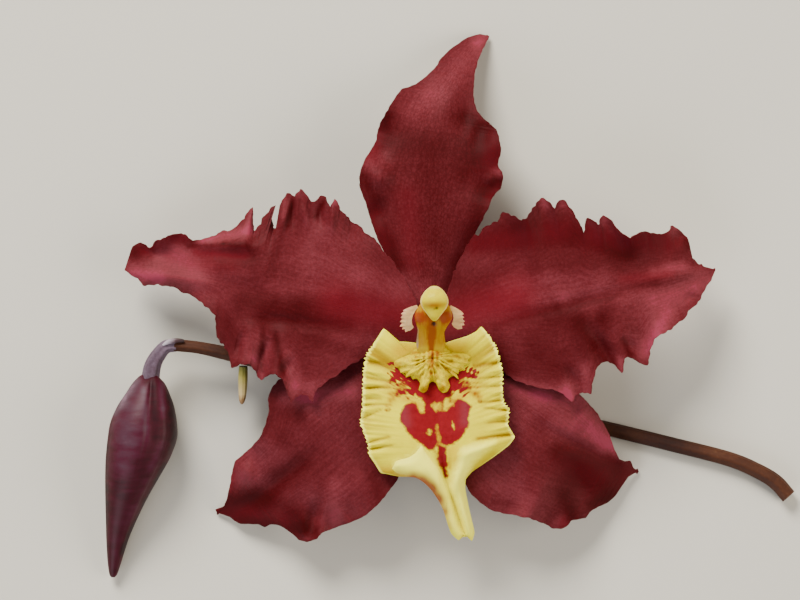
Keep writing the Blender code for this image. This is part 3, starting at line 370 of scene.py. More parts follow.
            (28.4, -4.8, 28.8, -6, 0.6, 0.3), (29.0, -1.6, 30.0, -3.8, 0.5, -0.26),
            (11, 9, 15, 8.6, 1.6, -0.16), (20, 9.8, 27, 10, 1.6, -0.22), (4, 1, 11, 1, 2.6, 0.14),
            (24.4, 2.4, 26.6, -1, 1.6, 0.26), (30, -1.8, 33, -3.4, 1.4, 0.16),
            (12, -8.4, 20, -9.4, 1.3, 0.28), (15.6, 4.4, 20, 4.8, 1.2, 0.2), (26, 6, 32, 5.6, 1.4, 0.12),
            (36, 9.8, 40, 8.8, 1.0, 0.14), (30, 12.6, 32, 12.4, 1.2, 0.16), (20, 5.2, 25, 5.8, 1.0, 0.2),
            (36.6, 3.6, 33.4, -1.5, 2.0, 0.16), (38.6, 4.4, 40, 6, 0.9, 0.14),
            (27.4, -3.4, 28.6, -4.4, 0.8, 0.24), (20, -9.4, 21, -10, 0.8, 0.2)],
        "painted_glows": [
            (13, 5.2, 4, 2.4, 3.2, 0.55), (29, 7.6, 36, 8.4, 0.8, 0.3), (24, 14, 36, 13, 1.8, 0.3),
            (7, 12.8, 20, 15, 1.8, 0.3)],
        "teeth": (0.15, 0.13), "net": 0.4,
    },
}


def smooth_line(points, steps, pull=1.0):
    """A cardinal line through the points, with this many steps from each to the next."""
    p = np.array(points, float)
    p = np.vstack([2 * p[0] - p[1], p, 2 * p[-1] - p[-2]])
    line = []
    for p0, p1, p2, p3 in zip(p, p[1:], p[2:], p[3:]):
        m1, m2 = 0.5 * pull * (p2 - p0), 0.5 * pull * (p3 - p1)
        for t in np.arange(steps) / steps:
            line.append((2 * t ** 3 - 3 * t * t + 1) * p1 + (t ** 3 - 2 * t * t + t) * m1
                        + (3 * t * t - 2 * t ** 3) * p2 + (t ** 3 - t * t) * m2)
    return np.array([*line, p[-2]])


def rising_shares(points, rib):
    """How far along the blade each outline point lies, from 0 to 1, kept rising."""
    along = rib[-1, :2] - rib[0, :2]
    shares = [0.0]
    for point in points[1:]:
        share = float((np.array(point[:2]) - rib[0, :2]) @ along / (along @ along))
        shares.append(max(share, shares[-1] + SMALLEST_STEP))
    return np.array(shares) / shares[-1]


def outline_shares(points, rib):
    """How far along its own outline each point lies, from 0 to 1."""
    steps = np.linalg.norm(np.diff(np.array([p[:2] for p in points], float), axis=0), axis=1)
    return np.concatenate([[0], np.cumsum(steps)]) / steps.sum()


def eased(stations, shares):
    """The values that ease from one (share, value, ...) station to the next, one column each."""
    table = np.array(stations, float)
    k = np.clip(np.searchsorted(table[:, 0], shares, "right") - 1, 0, len(table) - 2)
    part = (shares - table[k, 0]) / (table[k + 1, 0] - table[k, 0])
    part = np.clip(part, 0, 1)[:, None]
    part = part * part * (3 - 2 * part)
    return table[k, 1:] * (1 - part) + table[k + 1, 1:] * part


def ramp(value, start, reach):
    """0 up to the start and 1 beyond its reach, or the other way round if the reach is less than 0."""
    return np.clip((value - start) / reach, 0, 1)


def bell(value, centre, width):
    """1 at the centre, dying away on either side."""
    return np.exp(-((value - centre) / width) ** 2)


def share_along(x, y, x0, y0, x1, y1):
    """How far along a segment points lie, from 0 to 1."""
    dx, dy = x1 - x0, y1 - y0
    return np.clip(((x - x0) * dx + (y - y0) * dy) / (dx * dx + dy * dy), 0, 1)


def segment_distance(x, y, x0, y0, x1, y1):
    """How far points lie from a segment."""
    share = share_along(x, y, x0, y0, x1, y1)
    return np.hypot(x - x0 - share * (x1 - x0), y - y0 - share * (y1 - y0))


def fold(x, y, x0, y0, x1, y1, width, height):
    """A soft ridge, or a hollow if its height is less than 0, that dies away towards both its ends."""
    dx, dy = x1 - x0, y1 - y0
    aside = ((x - x0) * dy - (y - y0) * dx) / math.hypot(dx, dy)
    along = np.sin(math.pi * share_along(x, y, x0, y0, x1, y1)) ** FOLD_FADE
    return height * bell(aside, 0, width) * along


def strokes(x, y, marks):
    """The sum of soft brush strokes, each (x, y, x, y, radius, strength)."""
    return sum(strength * bell(segment_distance(x, y, *ends), 0, radius)
               for *ends, radius, strength in marks)


def soft_noise(x, y, pitch, seed):
    """Smooth noise from -1 to 1 over a plane, with features of this size in millimetres."""
    pairs = zip(x.ravel() / pitch, y.ravel() / pitch)
    return np.array([noise.noise((a, b, seed)) for a, b in pairs]).reshape(x.shape)


def edge_line(outline, shares, columns):
    """(edge, smoothed edge) of a blade at each column."""
    fine = smooth_line([p[:2] for p in outline], OUTLINE_STEPS, OUTLINE_PULL)
    marks = np.interp(np.arange(len(fine)) / OUTLINE_STEPS, np.arange(len(shares)), shares)
    edge = np.stack([np.interp(columns, marks, fine[:, k]) for k in (0, 1)], 1)
    window = np.hanning(2 * (len(columns) // CALM_PART) + 3)
    half = len(window) // 2
    reach = np.vstack([2 * edge[0] - edge[half:0:-1], edge, 2 * edge[-1] - edge[-2:-half - 2:-1]])
    calm = np.stack([np.convolve(reach[:, k], window / window.sum(), "valid") for k in (0, 1)], 1)
    fade = ramp(np.minimum(columns, 1 - columns), 0, 0.1)[:, None]
    return edge, edge + (calm - edge) * fade


def blade_sheet(table, measure, columns, rows, ragged=None):
    """The fields of a blade over (column, row): x, y, z, share and across, -1 and 1 at its edges."""
    rib = smooth_line(table["rib"], RIB_STEPS)
    rib_shares = rising_shares(rib, rib)
    coarse = {side: measure(table[side], rib) for side in ("left", "right")}
    shares = np.unique(np.concatenate([np.linspace(0, 1, columns), *coarse.values()]))
    middle = np.stack([np.interp(shares, rib_shares, rib[:, k]) for k in range(3)], 1)
    v = 1 - (1 - np.linspace(0, 1, rows + 1)) ** ROW_CROWDING
    halves = []
    for side, marks in coarse.items():
        edge, calm = edge_line(table[side], marks, shares)
        if ragged:
            edge = edge + ragged(side, shares, edge)
        lift, roll = eased(table[side + "_waves"], shares).T
        xy = middle[:, None, :2] + (calm - middle[:, :2])[:, None] * v[None, :, None]
        xy = xy + (edge - calm)[:, None] * v[None, :, None] ** TOOTH_FADE
        z = middle[:, 2:] + lift[:, None] * v ** 2 + roll[:, None] * np.sin(math.pi * v)
        halves.append(np.concatenate([xy, z[..., None]], 2))
    x, y, z = np.moveaxis(np.concatenate([halves[0][:, :0:-1], halves[1]], 1), 2, 0)
    for ridge in table.get("folds", ()):
        z = z + fold(x, y, *ridge)
    return x, y, z, shares, np.concatenate([-v[:0:-1], v])


def sheet_object(name, x, y, z, shares, across, fields, size=(30, 10)):
    """A mesh of one sheet with point attributes, and a map of this length and half width over it."""
    count, width = x.shape
    places = np.stack([x - FOOTPRINT_CENTRE[0], y - FOOTPRINT_CENTRE[1], z], 2).reshape(-1, 3) * MM
    a = (np.arange(count - 1)[:, None] * width + np.arange(width - 1)).ravel()
    quads = np.stack([a, a + 1, a + width + 1, a + width], 1)
    mesh = bpy.data.meshes.new(name)
    mesh.from_pydata(places.tolist(), [], quads.tolist())
    spots = np.stack([np.repeat(shares * size[0], width), np.tile(across * size[1], count)], 1) / MAP_UNIT
    mesh.uv_layers.new(name="blade").data.foreach_set("uv", spots[quads.ravel()].ravel())
    for key, values in fields.items():
        mesh.attributes.new(key, "FLOAT", "POINT").data.foreach_set("value", values.ravel())
    normals = np.zeros(len(mesh.polygons) * 3)
    mesh.polygons.foreach_get("normal", normals)
    if normals[2::3].sum() < 0:
        mesh.flip_normals()
    return into_scene(name, mesh)


def made_mesh(obj, sharp_degrees):
    """What the modifiers of an object make, as a plain smooth mesh with its sharp edges marked."""
    bpy.context.view_layer.update()
    mesh = bpy.data.meshes.new_from_object(obj.evaluated_get(bpy.context.evaluated_depsgraph_get()))
    mesh.shade_smooth()
    mesh.set_sharp_from_angle(angle=math.radians(sharp_degrees))
    return mesh


def settle(obj):
    """Keeps what the modifiers of an object make as its mesh."""
    mesh = made_mesh(obj, 70)
    obj.modifiers.clear()
    obj.vertex_groups.clear()
    obj.data = mesh


def give_body(obj, width, thickness, edge_share=EDGE_BODY):
    """Thickens a sheet that is so many rows wide downwards, less at its two edges."""
    group = obj.vertex_groups.new(name="body")
    rows = np.arange(len(obj.data.vertices)) % width
    depth = np.minimum(rows, width - 1 - rows) / (width * EDGE_ZONE)
    weights = np.clip(edge_share + (1 - edge_share) * depth, 0, 1)
    for row in range(width):
        group.add(np.flatnonzero(rows == row).tolist(), float(weights[row]), "REPLACE")
    solid = obj.modifiers.new("body", "SOLIDIFY")
    solid.thickness = thickness * MM
    solid.offset = -1
    solid.vertex_group = "body"
    settle(obj)


def finish_piece(obj, material, node):
    """Dresses a node of the part with this object."""
    obj.data.materials.clear()
    obj.data.materials.append(material)
    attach(obj, "root")
    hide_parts(node)


def start_skin(name, *fields):
    """A new material and what it reads: (material, tree, place, the attributes of these names).
    Scales of patterns on place are features per metre, so 2000 gives half millimetres."""
    material = new_material(name)
    tree = material.node_tree
    place = add(tree, "ShaderNodeTexCoord").outputs["Object"]
    return (material, tree, place,
            *(add(tree, "ShaderNodeAttribute", attribute_name=key).outputs["Fac"] for key in fields))


def painted(tree, colour, *coats):
    """A colour with coats of (amount, colour) over it, the last on top."""
    for amount, coat in coats:
        below, above = (linear(c) if isinstance(c, str) else c for c in (colour, coat))
        colour = add(tree, "ShaderNodeMix", {0: amount, 6: below, 7: above}, data_type="RGBA").outputs[2]
    return colour


def finish_skin(material, colour, roughness, specular=0.5, below=None, relief=None):
    """Sets a material's shader. below is the light that goes under the skin, as (weight, reach of
    red, green and blue, scale in millimetres), and relief is (height, strength, millimetres)."""
    tree = material.node_tree
    finish = tree.nodes["Principled BSDF"].inputs
    tree.links.new(colour, finish["Base Color"])
    finish["Roughness"].default_value = roughness
    finish["Specular IOR Level"].default_value = specular
    if below:
        finish["Subsurface Weight"].default_value = below[0]
        finish["Subsurface Radius"].default_value = below[1]
        finish["Subsurface Scale"].default_value = below[2] * MM
    if relief:
        height, strength, depth = relief
        bump = add(tree, "ShaderNodeBump", {"Height": height, "Strength": strength, "Distance": depth * MM})
        tree.links.new(bump.outputs[0], finish["Normal"])
    return material


# Crimson tepal skin, a single layer of tiny domed cells over red sap: it looks like velvet. Its deep
# red shade and the pink veil where light strikes along it are painted into its colour by the light and
# shade field. Fine veins run from base to edge.
def tepal_skin():
    material, tree, place, light_and_shade, painted_glow, netted = start_skin("crimson tepal velvet", "light_and_shade", "painted_glow", "net")
    blade = add(tree, "ShaderNodeUVMap", uv_map="blade").outputs["UV"]
    cells = add(tree, "ShaderNodeTexNoise", {"Vector": place, "Scale": 2300, "Detail": 3, "Roughness": 0.65})
    clouds = add(tree, "ShaderNodeTexNoise", {"Vector": place, "Scale": 330, "Detail": 3})
    veins, streaks = (
        add(tree, "ShaderNodeTexNoise", {"Vector": add(tree, "ShaderNodeMapping", {
            "Vector": blade, "Scale": (*pitch, 1)}).outputs[0], "Scale": 9, "Detail": 3})
        for pitch in ((0.9, 9), (0.22, 2.6)))
    bends = add(tree, "ShaderNodeTexNoise", {"Vector": blade, "Scale": 30}).outputs["Color"]
    bent = add(tree, "ShaderNodeVectorMath", {0: bends, 1: (0.09, 0.09, 0), 2: blade},
               operation="MULTIPLY_ADD").outputs[0]
    net = add(tree, "ShaderNodeTexVoronoi", {"Vector": bent, "Scale": 15}, feature="DISTANCE_TO_EDGE")
    lines = add(tree, "ShaderNodeMapRange", {0: net.outputs["Distance"], 1: 0.0, 2: 0.2, 3: -0.11, 4: 0.03})
    shading_and_grain = light_and_shade
    for pattern, share in ((lines.outputs[0], netted), (cells.outputs["Fac"], 0.37),
                           (clouds.outputs["Fac"], 0.12), (veins.outputs["Fac"], 0.2),
                           (streaks.outputs["Fac"], 0.24)):
        shading_and_grain = add(tree, "ShaderNodeMath", {0: pattern, 1: share, 2: shading_and_grain},
                    operation="MULTIPLY_ADD").outputs[0]
    # The ramp runs from deep red painted shade to the pink of a painted sheen
    colour = add(tree, "ShaderNodeValToRGB", {"Fac": shading_and_grain}, stops=[
        (0.1, "#330001"), (0.3, "#3e0306"), (0.5, "#4b1014"), (0.65, "#591b20"), (0.82, "#69282e"),
        (0.92, "#722a33"), (1.0, "#802e3e")]).outputs["Color"]
    height = add(tree, "ShaderNodeMath", {0: veins.outputs["Fac"], 1: 1.6, 2: cells.outputs["Fac"]},
                 operation="MULTIPLY_ADD").outputs[0]
    # A clear red glow is painted where light comes through the blade
    return finish_skin(material, painted(tree, colour, (painted_glow, "#6c101c")), 0.6, 0.07,
                       (0.1, (1.0, 0.12, 0.1), 0.5), (height, 0.35, 0.05))


def fringe(reach):
    """The fine uneven teeth of a tepal's edges, as offsets that blade_sheet adds to them."""
    def ragged(side, shares, edge):
        depth = 2 * reach[side == "right"] * ramp(shares, 0, 0.1) * ramp(shares, 1, -0.03)
        shifts = [soft_noise(edge[:, 0], edge[:, 1], TOOTH_PITCH, seed) for seed in TOOTH_SEEDS]
        return np.stack(shifts, 1) * depth[:, None]
    return ragged


tepal_material = tepal_skin()
for seed, (node, tepal) in enumerate(TEPALS.items()):
    x, y, z, shares, across = blade_sheet(tepal, rising_shares, *TEPAL_GRID, fringe(tepal["teeth"]))
    free = np.abs(across) ** 1.5 * ramp(shares, 0, 0.25)[:, None]
    z = z + CRINKLE * soft_noise(x, y, CRINKLE_PITCH, seed) * free
    length = np.linalg.norm(np.array(tepal["rib"][-1]) - tepal["rib"][0])
    # Its painted light and shade and its painted glow go on the blade as point attributes
    blade = sheet_object(node + "_blade", x, y, z, shares, across, {
        "light_and_shade": BASE_TONE + strokes(x, y, tepal["painted_light_and_shade"]), "painted_glow": strokes(x, y, tepal["painted_glows"]),
        "net": tepal["net"] * ramp(np.abs(across), 1.3, -1) + 0 * x}, (length, TEPAL_HALF_WIDTH))
    give_body(blade, len(across), TEPAL_BODY)
    finish_piece(blade, tepal_material, node)


# The lip: a broad, waxy yellow blade with pleated, finely toothed sides and a red heart, which grows
# from the foot of the column. Its lower lobes roll forward to show their cream backs, and run down
# into two rolled tails side by side.
LIP_BODY, LIP_GRID = 0.45, (620, 22)
LIP = {
    "rib": [
        (0.2, -2.8, 13.2), (0.35, -5.5, 13.7), (0.9, -12.5, 14.1), (1.5, -17.5, 14.4), (2.4, -22.2, 13.3),
        (3.8, -26.6, 11.3), (5.3, -30.8, 9.0)],
    "left": [
        (-1.7, -2.0), (-3.2, -1.8), (-4.8, -1.7), (-5.5, -1.2), (-6.2, -0.3), (-7, 0.2), (-7.8, -1),
        (-8.8, -2.5), (-9.6, -3.8), (-10, -6), (-10.1, -9), (-10.2, -12.2), (-10.5, -13.8), (-9.9, -15.6),
        (-9.3, -17.2), (-9.2, -18.6), (-8.3, -20), (-7.4, -21.4), (-6.4, -21.6), (-4.6, -22), (-2.6, -22),
        (-1.2, -22.6), (0, -23.7), (1.1, -25.2), (2, -27), (2.6, -29), (3.2, -30.6), (4.3, -31.6),
        (5.3, -30.8)],
    "right": [
        (2.0, -2.0), (3.3, -1.6), (4.6, -1.2), (5.8, -0.8), (6.9, -0.2), (7.7, 0.5), (8.7, -0.6),
        (9.8, -2.2), (10.4, -4), (10.9, -6.4), (10.9, -9.4), (11.1, -10.8), (11.9, -12), (11.7, -14.2),
        (12.7, -16), (11.8, -17.3), (10, -18.7), (8, -20.1), (6.3, -21.3), (5.4, -22.4), (5.3, -23.8),
        (5.7, -26), (6.2, -28.2), (6.7, -30.4), (6.3, -31.7), (5.3, -30.8)],
    "left_waves": [
        (0, -0.1, 0), (0.12, -0.4, 0), (0.45, -0.3, 0.2), (0.56, -0.7, 0.3), (0.64, -1.4, 1.0),
        (0.74, -1.2, 0.9), (1, -0.8, 0.6)],
    "right_waves": [
        (0, -0.1, 0), (0.12, -0.4, 0), (0.4, -0.2, 0.2), (0.5, -1.0, 0.5), (0.6, -1.4, 0.9),
        (0.74, -1.2, 0.9), (1, -0.8, 0.6)],
    "folds": [
        (13.5, -16.0, 3.0, -19.2, 0.9, 0.9), (5.4, -17.6, 3.4, -25.5, 0.8, 0.7),
        (1.2, -15.0, 2.9, -24.0, 0.7, -0.5), (1.2, -18, 6.2, -34, 0.55, -0.65),
        (0.2, -21.5, 5.0, -35, 0.75, 0.8), (3.6, -20.0, 7.0, -36, 0.75, 0.8),
        (-8.5, 0.6, -3.2, -4.4, 1.4, 0.55), (9.4, 0.8, 4.0, -4.4, 1.4, 0.55)],
}
# Creases that run in from the sides: (x, y, x, y, half width, height), hollows less than 0
CREASES = [
    (-9.6, -3.4, -6.6, -5.0, 0.5, 0.35), (-9.9, -4.6, -5.6, -5.6, 0.45, -0.4),
    (-9.9, -6.2, -5.8, -6.6, 0.3, 0.3), (-9.9, -7.2, -5.5, -7.8, 0.28, -0.34),
    (-10, -8.0, -6.4, -8.1, 0.3, 0.25), (-9.9, -8.7, -5.7, -8.6, 0.26, -0.42),
    (-10, -9.6, -6.6, -9.3, 0.32, 0.28), (-10, -10.4, -7.4, -10.2, 0.3, -0.28),
    (-10, -11.3, -6.4, -11.1, 0.24, -0.36), (-10.1, -12.1, -7.4, -11.3, 0.3, 0.24),
    (-10, -13.2, -7.4, -11.9, 0.26, -0.34), (-10, -14.6, -7.6, -14.2, 0.6, 0.2),
    (-9.3, -16.9, -6.2, -16.0, 0.28, -0.4), (-9.4, -17.4, -6.4, -16.8, 0.25, 0.22),
    (-9.1, -17.9, -5.6, -17.2, 0.24, -0.34), (-8.9, -19.0, -6.4, -18.6, 0.6, 0.22),
    (10.2, -3.6, 7.2, -4.8, 0.55, 0.3), (10.5, -4.8, 6.6, -5.4, 0.4, -0.36),
    (10.8, -6.0, 7.0, -6.2, 0.35, 0.28), (10.9, -7.0, 7.3, -7.2, 0.26, -0.32),
    (10.9, -8.4, 7.4, -8.5, 0.26, -0.3), (10.9, -9.3, 7.6, -9.3, 0.4, 0.24),
    (11.0, -10.6, 7.7, -10.8, 0.26, -0.36), (11.8, -12.1, 8.0, -11.6, 0.26, -0.36),
    (11.7, -12.9, 8.6, -12.8, 0.4, 0.28), (11.8, -13.6, 8.6, -13.9, 0.26, -0.3),
    (11.8, -14.4, 8.6, -15.2, 0.3, 0.26), (12.0, -15.7, 7.0, -16.3, 0.34, -0.6)]
CREASE_PUSH = 1.25
CREASE_SHADE = (0.85, -1.6)  # radius and strength of the painted shade stroke in a hollow crease, over its own
RIPPLE_PITCH, RIPPLE_HEIGHT, RIPPLE_SHADE = 0.7, 0.17, 3.2
FRAY_PITCH, FRAY_DEPTH, FRAY_SIDESTEP = 0.62, 0.34, 0.1
FRAYED = {"left": (0.17, 0.56), "right": (0.16, 0.5)}  # shares of the outline that are toothed
OUTLINE_LENGTH = {"left": 50, "right": 47}  # millimetres

# The red marks: the heart, the ring below the crest, rays out of the ring, and the stripe to the tail
HEART = [
    (-2.1, -11.0), (-2.4, -10.6), (-3.0, -10.9), (-3.9, -11.3), (-4.3, -12.0), (-4.5, -12.8),
    (-4.5, -13.6), (-3.9, -14.3), (-3.6, -15.2), (-3.0, -15.7), (-2.4, -16.3), (-1.7, -16.8),
    (-1.0, -17.2), (-0.4, -18.0), (0.3, -18.2), (0.8, -17.4), (1.2, -16.6), (1.9, -17.1), (2.9, -17.4),
    (3.6, -17.0), (4.4, -16.4), (5.0, -15.8), (5.3, -15.0), (5.8, -14.4), (5.8, -12.7), (6.0, -12.0),
    (6.3, -11.5), (5.9, -11.0), (5.0, -10.5), (4.3, -10.2), (3.6, -10.6), (3.5, -11.2), (2.8, -11.6),
    (2.1, -12.2), (2.1, -10.0), (-0.85, -10.0), (-0.85, -12.4), (-1.1, -12.7), (-1.7, -11.9)]
RING = [
    (-5.4, -5.6), (-5.8, -6.5), (-5.6, -7.3), (-4.9, -7.9), (-4.1, -8.1), (-4.0, -8.7), (-4.6, -9.1),
    (-4.4, -9.6), (-3.4, -9.9), (-1.8, -10.0), (-1.0, -10.7), (0.3, -10.9), (0.6, -10.7), (1.4, -10.7),
    (2.2, -10.6), (2.8, -10.5), (3.0, -9.7), (4.4, -9.4), (5.4, -8.9), (5.2, -8.1), (5.0, -7.6),
    (5.8, -7.3), (6.7, -7.0), (6.7, -6.3), (5.9, -5.6), (4.5, -5.5), (2.4, -7.0), (0.4, -7.4),
    (-2.0, -7.0), (-4.0, -5.6)]
RAYS = [
    (-3.4, -7.7, -4.9, -8.1, 0.22), (-3.4, -9.2, -4.9, -9.6, 0.3), (5.0, -6.7, 6.7, -7.0, 0.3),
    (4.4, -8.6, 6.0, -8.7, 0.26), (7.4, -10.6, 7.8, -10.8, 0.2), (4.4, -7.7, 5.8, -7.9, 0.2),
    (-6.6, -12.0, -6.1, -11.9, 0.16), (-3.8, -8.5, -5.0, -8.9, 0.16), (-5.0, -7.0, -5.9, -7.5, 0.22)]
YELLOW_GAPS = [
    (-2.7, -10.3, -1.4, -10.3, 0.16), (-1.3, -10.9, -1.2, -12.2, 0.3), (1.0, -11.2, 1.1, -11.9, 0.38),
    (0.3, -11.3, 0.6, -11.5, 0.2), (2.7, -11.0, 3.3, -11.2, 0.3), (2.35, -10.7, 2.4, -11.9, 0.15),
    (-3.6, -8.5, -4.7, -8.7, 0.2), (0.95, -14.2, 1.1, -15.3, 0.16), (1.1, -15.3, 1.5, -17, 0.24),
    (-0.1, -15.0, -0.1, -15.6, 0.12), (3.2, -13.7, 3.7, -14.8, 0.12), (-1.1, -15.4, -1.0, -15.5, 0.08),
    (-4.8, -7.85, -3.6, -7.9, 0.05), (4.9, -7.5, 5.6, -7.5, 0.1)]
# Where red sap shows thinly through, as strokes (x, y, x, y, radius, strength)
RUST = [
    (-4.6, -8.2, -5.6, -8.3, 0.14, 0.7), (-3.6, -8.1, -4.6, -8.9, 0.5, 0.8),
    (-4.9, -9.3, -6.1, -9.6, 0.26, 0.6), (-5.2, -9.9, -6.0, -10.6, 0.35, 0.6),
    (-6.0, -11.2, -6.7, -11.5, 0.2, 0.6), (-6.2, -12.0, -6.6, -12.2, 0.12, 0.5),
    (5.0, -7.9, 7.2, -7.9, 0.12, 0.6), (5.1, -8.4, 7.2, -8.6, 0.16, 0.8),
    (5.2, -9.2, 7.2, -9.4, 0.3, 0.45), (6.6, -9.6, 7.4, -10.1, 0.35, 0.7),
    (4.6, -7.4, 5.4, -8.4, 0.4, 0.7), (6.6, -6.9, 7.3, -7.3, 0.2, 0.5),
    (-5.3, -7.2, -5.8, -7.8, 0.3, 0.6), (1.2, -15.2, 1.6, -17.2, 0.3, 0.5),
    (2.6, -18, 2.9, -20.6, 0.3, 0.5), (1.2, -18.2, 1.4, -20.2, 0.25, 0.5),
    (0.95, -14.0, 1.0, -14.8, 0.2, 0.6), (-1.2, -12.4, -1.2, -12.6, 0.2, 0.6),
    (0.7, -12.2, 1.4, -12.2, 0.15, 0.5), (-3.6, -10.0, -1.9, -10.2, 0.12, 0.4)]
STRIPE = [(1.75, -17.9, 2.0, -20.2, 0.66), (2.0, -20.2, 2.4, -21.9, 0.34), (1.2, -19.2, 1.5, -20.0, 0.15)]
CREAM_LANDS = [[
    (-5.3, -20.3), (-5.0, -19.6), (-3.3, -19.1), (-2.2, -18.4), (-1.3, -17.4), (-0.8, -18.2),
    (1.0, -20.7), (2.2, -22.3), (5.4, -30.6), (4.2, -31.8), (2.6, -29), (0, -23.6), (-2.4, -22.1),
    (-5.0, -21.2)], [
    (9.8, -16.6), (7.6, -17.0), (4.9, -17.8), (4.2, -19.6), (3.4, -21.4), (2.8, -23.4), (5.4, -30.6),
    (6.8, -31.6), (6.9, -28), (5.6, -22.2), (6.4, -19.8)]]


def inside_by(x, y, outline):
    """How far points lie inside a closed outline, in millimetres, less than 0 outside it."""
    near, crossings = np.full(x.shape, 1e9), np.zeros(x.shape, bool)
    for (x0, y0), (x1, y1) in zip(outline, [*outline[1:], outline[0]]):
        near = np.minimum(near, segment_distance(x, y, x0, y0, x1, y1))
        if y0 != y1:
            crossings ^= ((y < y0) != (y < y1)) & (x < x0 + (y - y0) * (x1 - x0) / (y1 - y0))
    return np.where(crossings, near, -near)


def line_noise(places, *rest):
    """Smooth noise from -1 to 1 at places along a line."""
    return np.array([noise.noise((place, *rest)) for place in places])


def fraying(side, shares, edge):
    """The fine teeth of the lip's sides, of uneven size, as offsets of its edge."""
    start, end = FRAYED[side]
    along = shares * OUTLINE_LENGTH[side]
    phase = along / FRAY_PITCH + 0.9 * line_noise(along * 1.1, 3.1, 0)
    size = 0.85 + 1.1 * line_noise(along * 1.2, 8.2, 0)
    tooth = (1 - np.abs(2 * (phase % 1) - 1)) ** 1.3 - 0.5
    within = ramp(shares, start, 0.02) * ramp(shares, end, -0.02)
    outward = -FRAY_DEPTH if side == "left" else FRAY_DEPTH
    return np.stack([outward * tooth * size * within, FRAY_SIDESTEP * tooth * within], 1)


def ripples(shares, across):
    """The fine uneven waves that run in from the lip's sides."""
    heights = 0
    for side, sign in (("left", -1), ("right", 1)):
        start, end = FRAYED[side]
        wave = 2 * line_noise(shares * OUTLINE_LENGTH[side] / RIPPLE_PITCH, 5.7, sign)
        within = ramp(shares - start, -0.05, 0.08) * ramp(shares, end + 0.02, -0.05)
        heights = heights + RIPPLE_HEIGHT * (wave * within)[:, None] * ramp(across * sign, 0.35, 0.65) ** 1.2
    return heights


def lip_skin():
    """Waxy yellow skin with red sap marks, whose ragged borders follow the veins."""
    material, tree, place, red, rust, cream, shade, gold, blush, painted_heart_sheen = start_skin(
        "waxy yellow lip", "red", "rust", "cream", "shade", "gold", "blush", "painted_heart_sheen")
    wobble = add(tree, "ShaderNodeTexNoise", {"Vector": place, "Scale": 1500, "Detail": 3, "Roughness": 0.6})
    cells = add(tree, "ShaderNodeTexNoise", {"Vector": place, "Scale": 2600, "Detail": 2})
    clouds = add(tree, "ShaderNodeTexNoise", {"Vector": place, "Scale": 300, "Detail": 2})
    shift = add(tree, "ShaderNodeMath", {0: wobble.outputs["Fac"], 1: 0.5}, operation="SUBTRACT").outputs[0]
    masks = []
    for inside, ragged, soft in ((red, 0.7, 0.18), (cream, 0.9, 0.6)):
        moved = add(tree, "ShaderNodeMath", {0: shift, 1: ragged, 2: inside},
                    operation="MULTIPLY_ADD").outputs[0]
        masks.append(add(tree, "ShaderNodeMapRange", {
            0: moved, 1: -soft, 2: soft, 3: 0.0, 4: 1.0}).outputs[0])
    # The heart's side lobes carry a painted sheen
    heart = painted(tree, "#6a0a10", (wobble.outputs["Fac"], "#8a1a20"), (painted_heart_sheen, "#7e3038"))
    # Over the yellow go deeper gold, painted shade in hollows and creases, cream, blush, thin rust and the
    # red marks
    colour = painted(tree, "#ccba00", (clouds.outputs["Fac"], "#ece000"), (gold, "#c8a200"),
                     (shade, "#865c00"), (masks[1], "#fff654"), (blush, "#a04a1c"), (rust, "#8a3204"),
                     (masks[0], heart))
    return finish_skin(material, colour, 0.42, 0.06, (0.15, (1.0, 0.7, 0.25), 0.6),
                       (cells.outputs["Fac"], 0.25, 0.04))


# Painted shade in soft hollows, deeper gold, the flush of the tails' roots and a painted sheen on the heart,
# as such strokes
PAINTED_SHADES = [
    (-8.4, -3.0, -5.8, -5.0, 0.9, 0.75), (-9.4, -4.6, -7.5, -4.9, 0.6, 0.3),
    (9.4, -2.6, 6.4, -4.4, 0.9, 0.6), (9.8, -4.8, 8.0, -5.2, 0.5, 0.25),
    (9.6, -18.6, 5.4, -21.6, 0.7, 0.4), (-9.2, -13.6, -9.6, -12.6, 0.5, 0.15),
    (-6.3, -8.2, -9.0, -8.7, 0.3, 0.3), (7.6, -8.0, 8.4, -8.1, 0.3, 0.3)]
GOLDS = [
    (-4.6, -3.2, 4.6, -3.0, 1.5, 0.9), (-6.2, -8.4, -5.6, -10.6, 0.9, 0.4),
    (6.6, -7.6, 7.4, -10, 0.9, 0.4), (-4.0, -10.2, -1.2, -11.4, 0.6, 0.8),
    (2.8, -11, 5.0, -9.8, 0.6, 0.8), (1.0, -11, 1.0, -12, 0.5, 0.7), (3.6, -17.8, 4.4, -22.6, 0.8, 0.7),
    (1.0, -14.2, 1.5, -17, 0.4, 0.8), (-7.4, -21.0, -5.4, -21.2, 0.8, 0.9),
    (-6.4, -5.4, -5.8, -6.2, 0.9, 0.5), (7.2, -5.2, 6.8, -6, 0.9, 0.5), (3.2, -25, 4.6, -30, 0.35, 0.5)]
BLUSHES = [
    (-4.8, -21.8, -2.6, -22.2, 0.7, 0.5), (-2.4, -22.1, -1.1, -22.7, 0.9, 0.55),
    (-1.1, -22.7, 0.2, -23.7, 0.95, 0.6), (0.2, -23.7, 1.3, -25.3, 0.9, 0.6),
    (1.3, -25.3, 2.2, -27.2, 0.75, 0.5), (2.2, -27.2, 3.0, -29.6, 0.5, 0.35)]
PAINTED_HEART_SHEENS = [(-3.9, -11.9, -3.6, -14.0, 0.8, 0.7), (5.2, -11.2, 5.2, -13.8, 0.8, 0.7)]
# Each hollow crease gets a stroke of painted shade
PAINTED_SHADES += [(*ends, CREASE_SHADE[0] * width, CREASE_SHADE[1] * height)
           for *ends, width, height in CREASES if height < 0]
RING_HEART, RING_RAGGED = (0.3, -3.9), 1.9
HEM_START, HEM_SLOPE = 0.97, 30

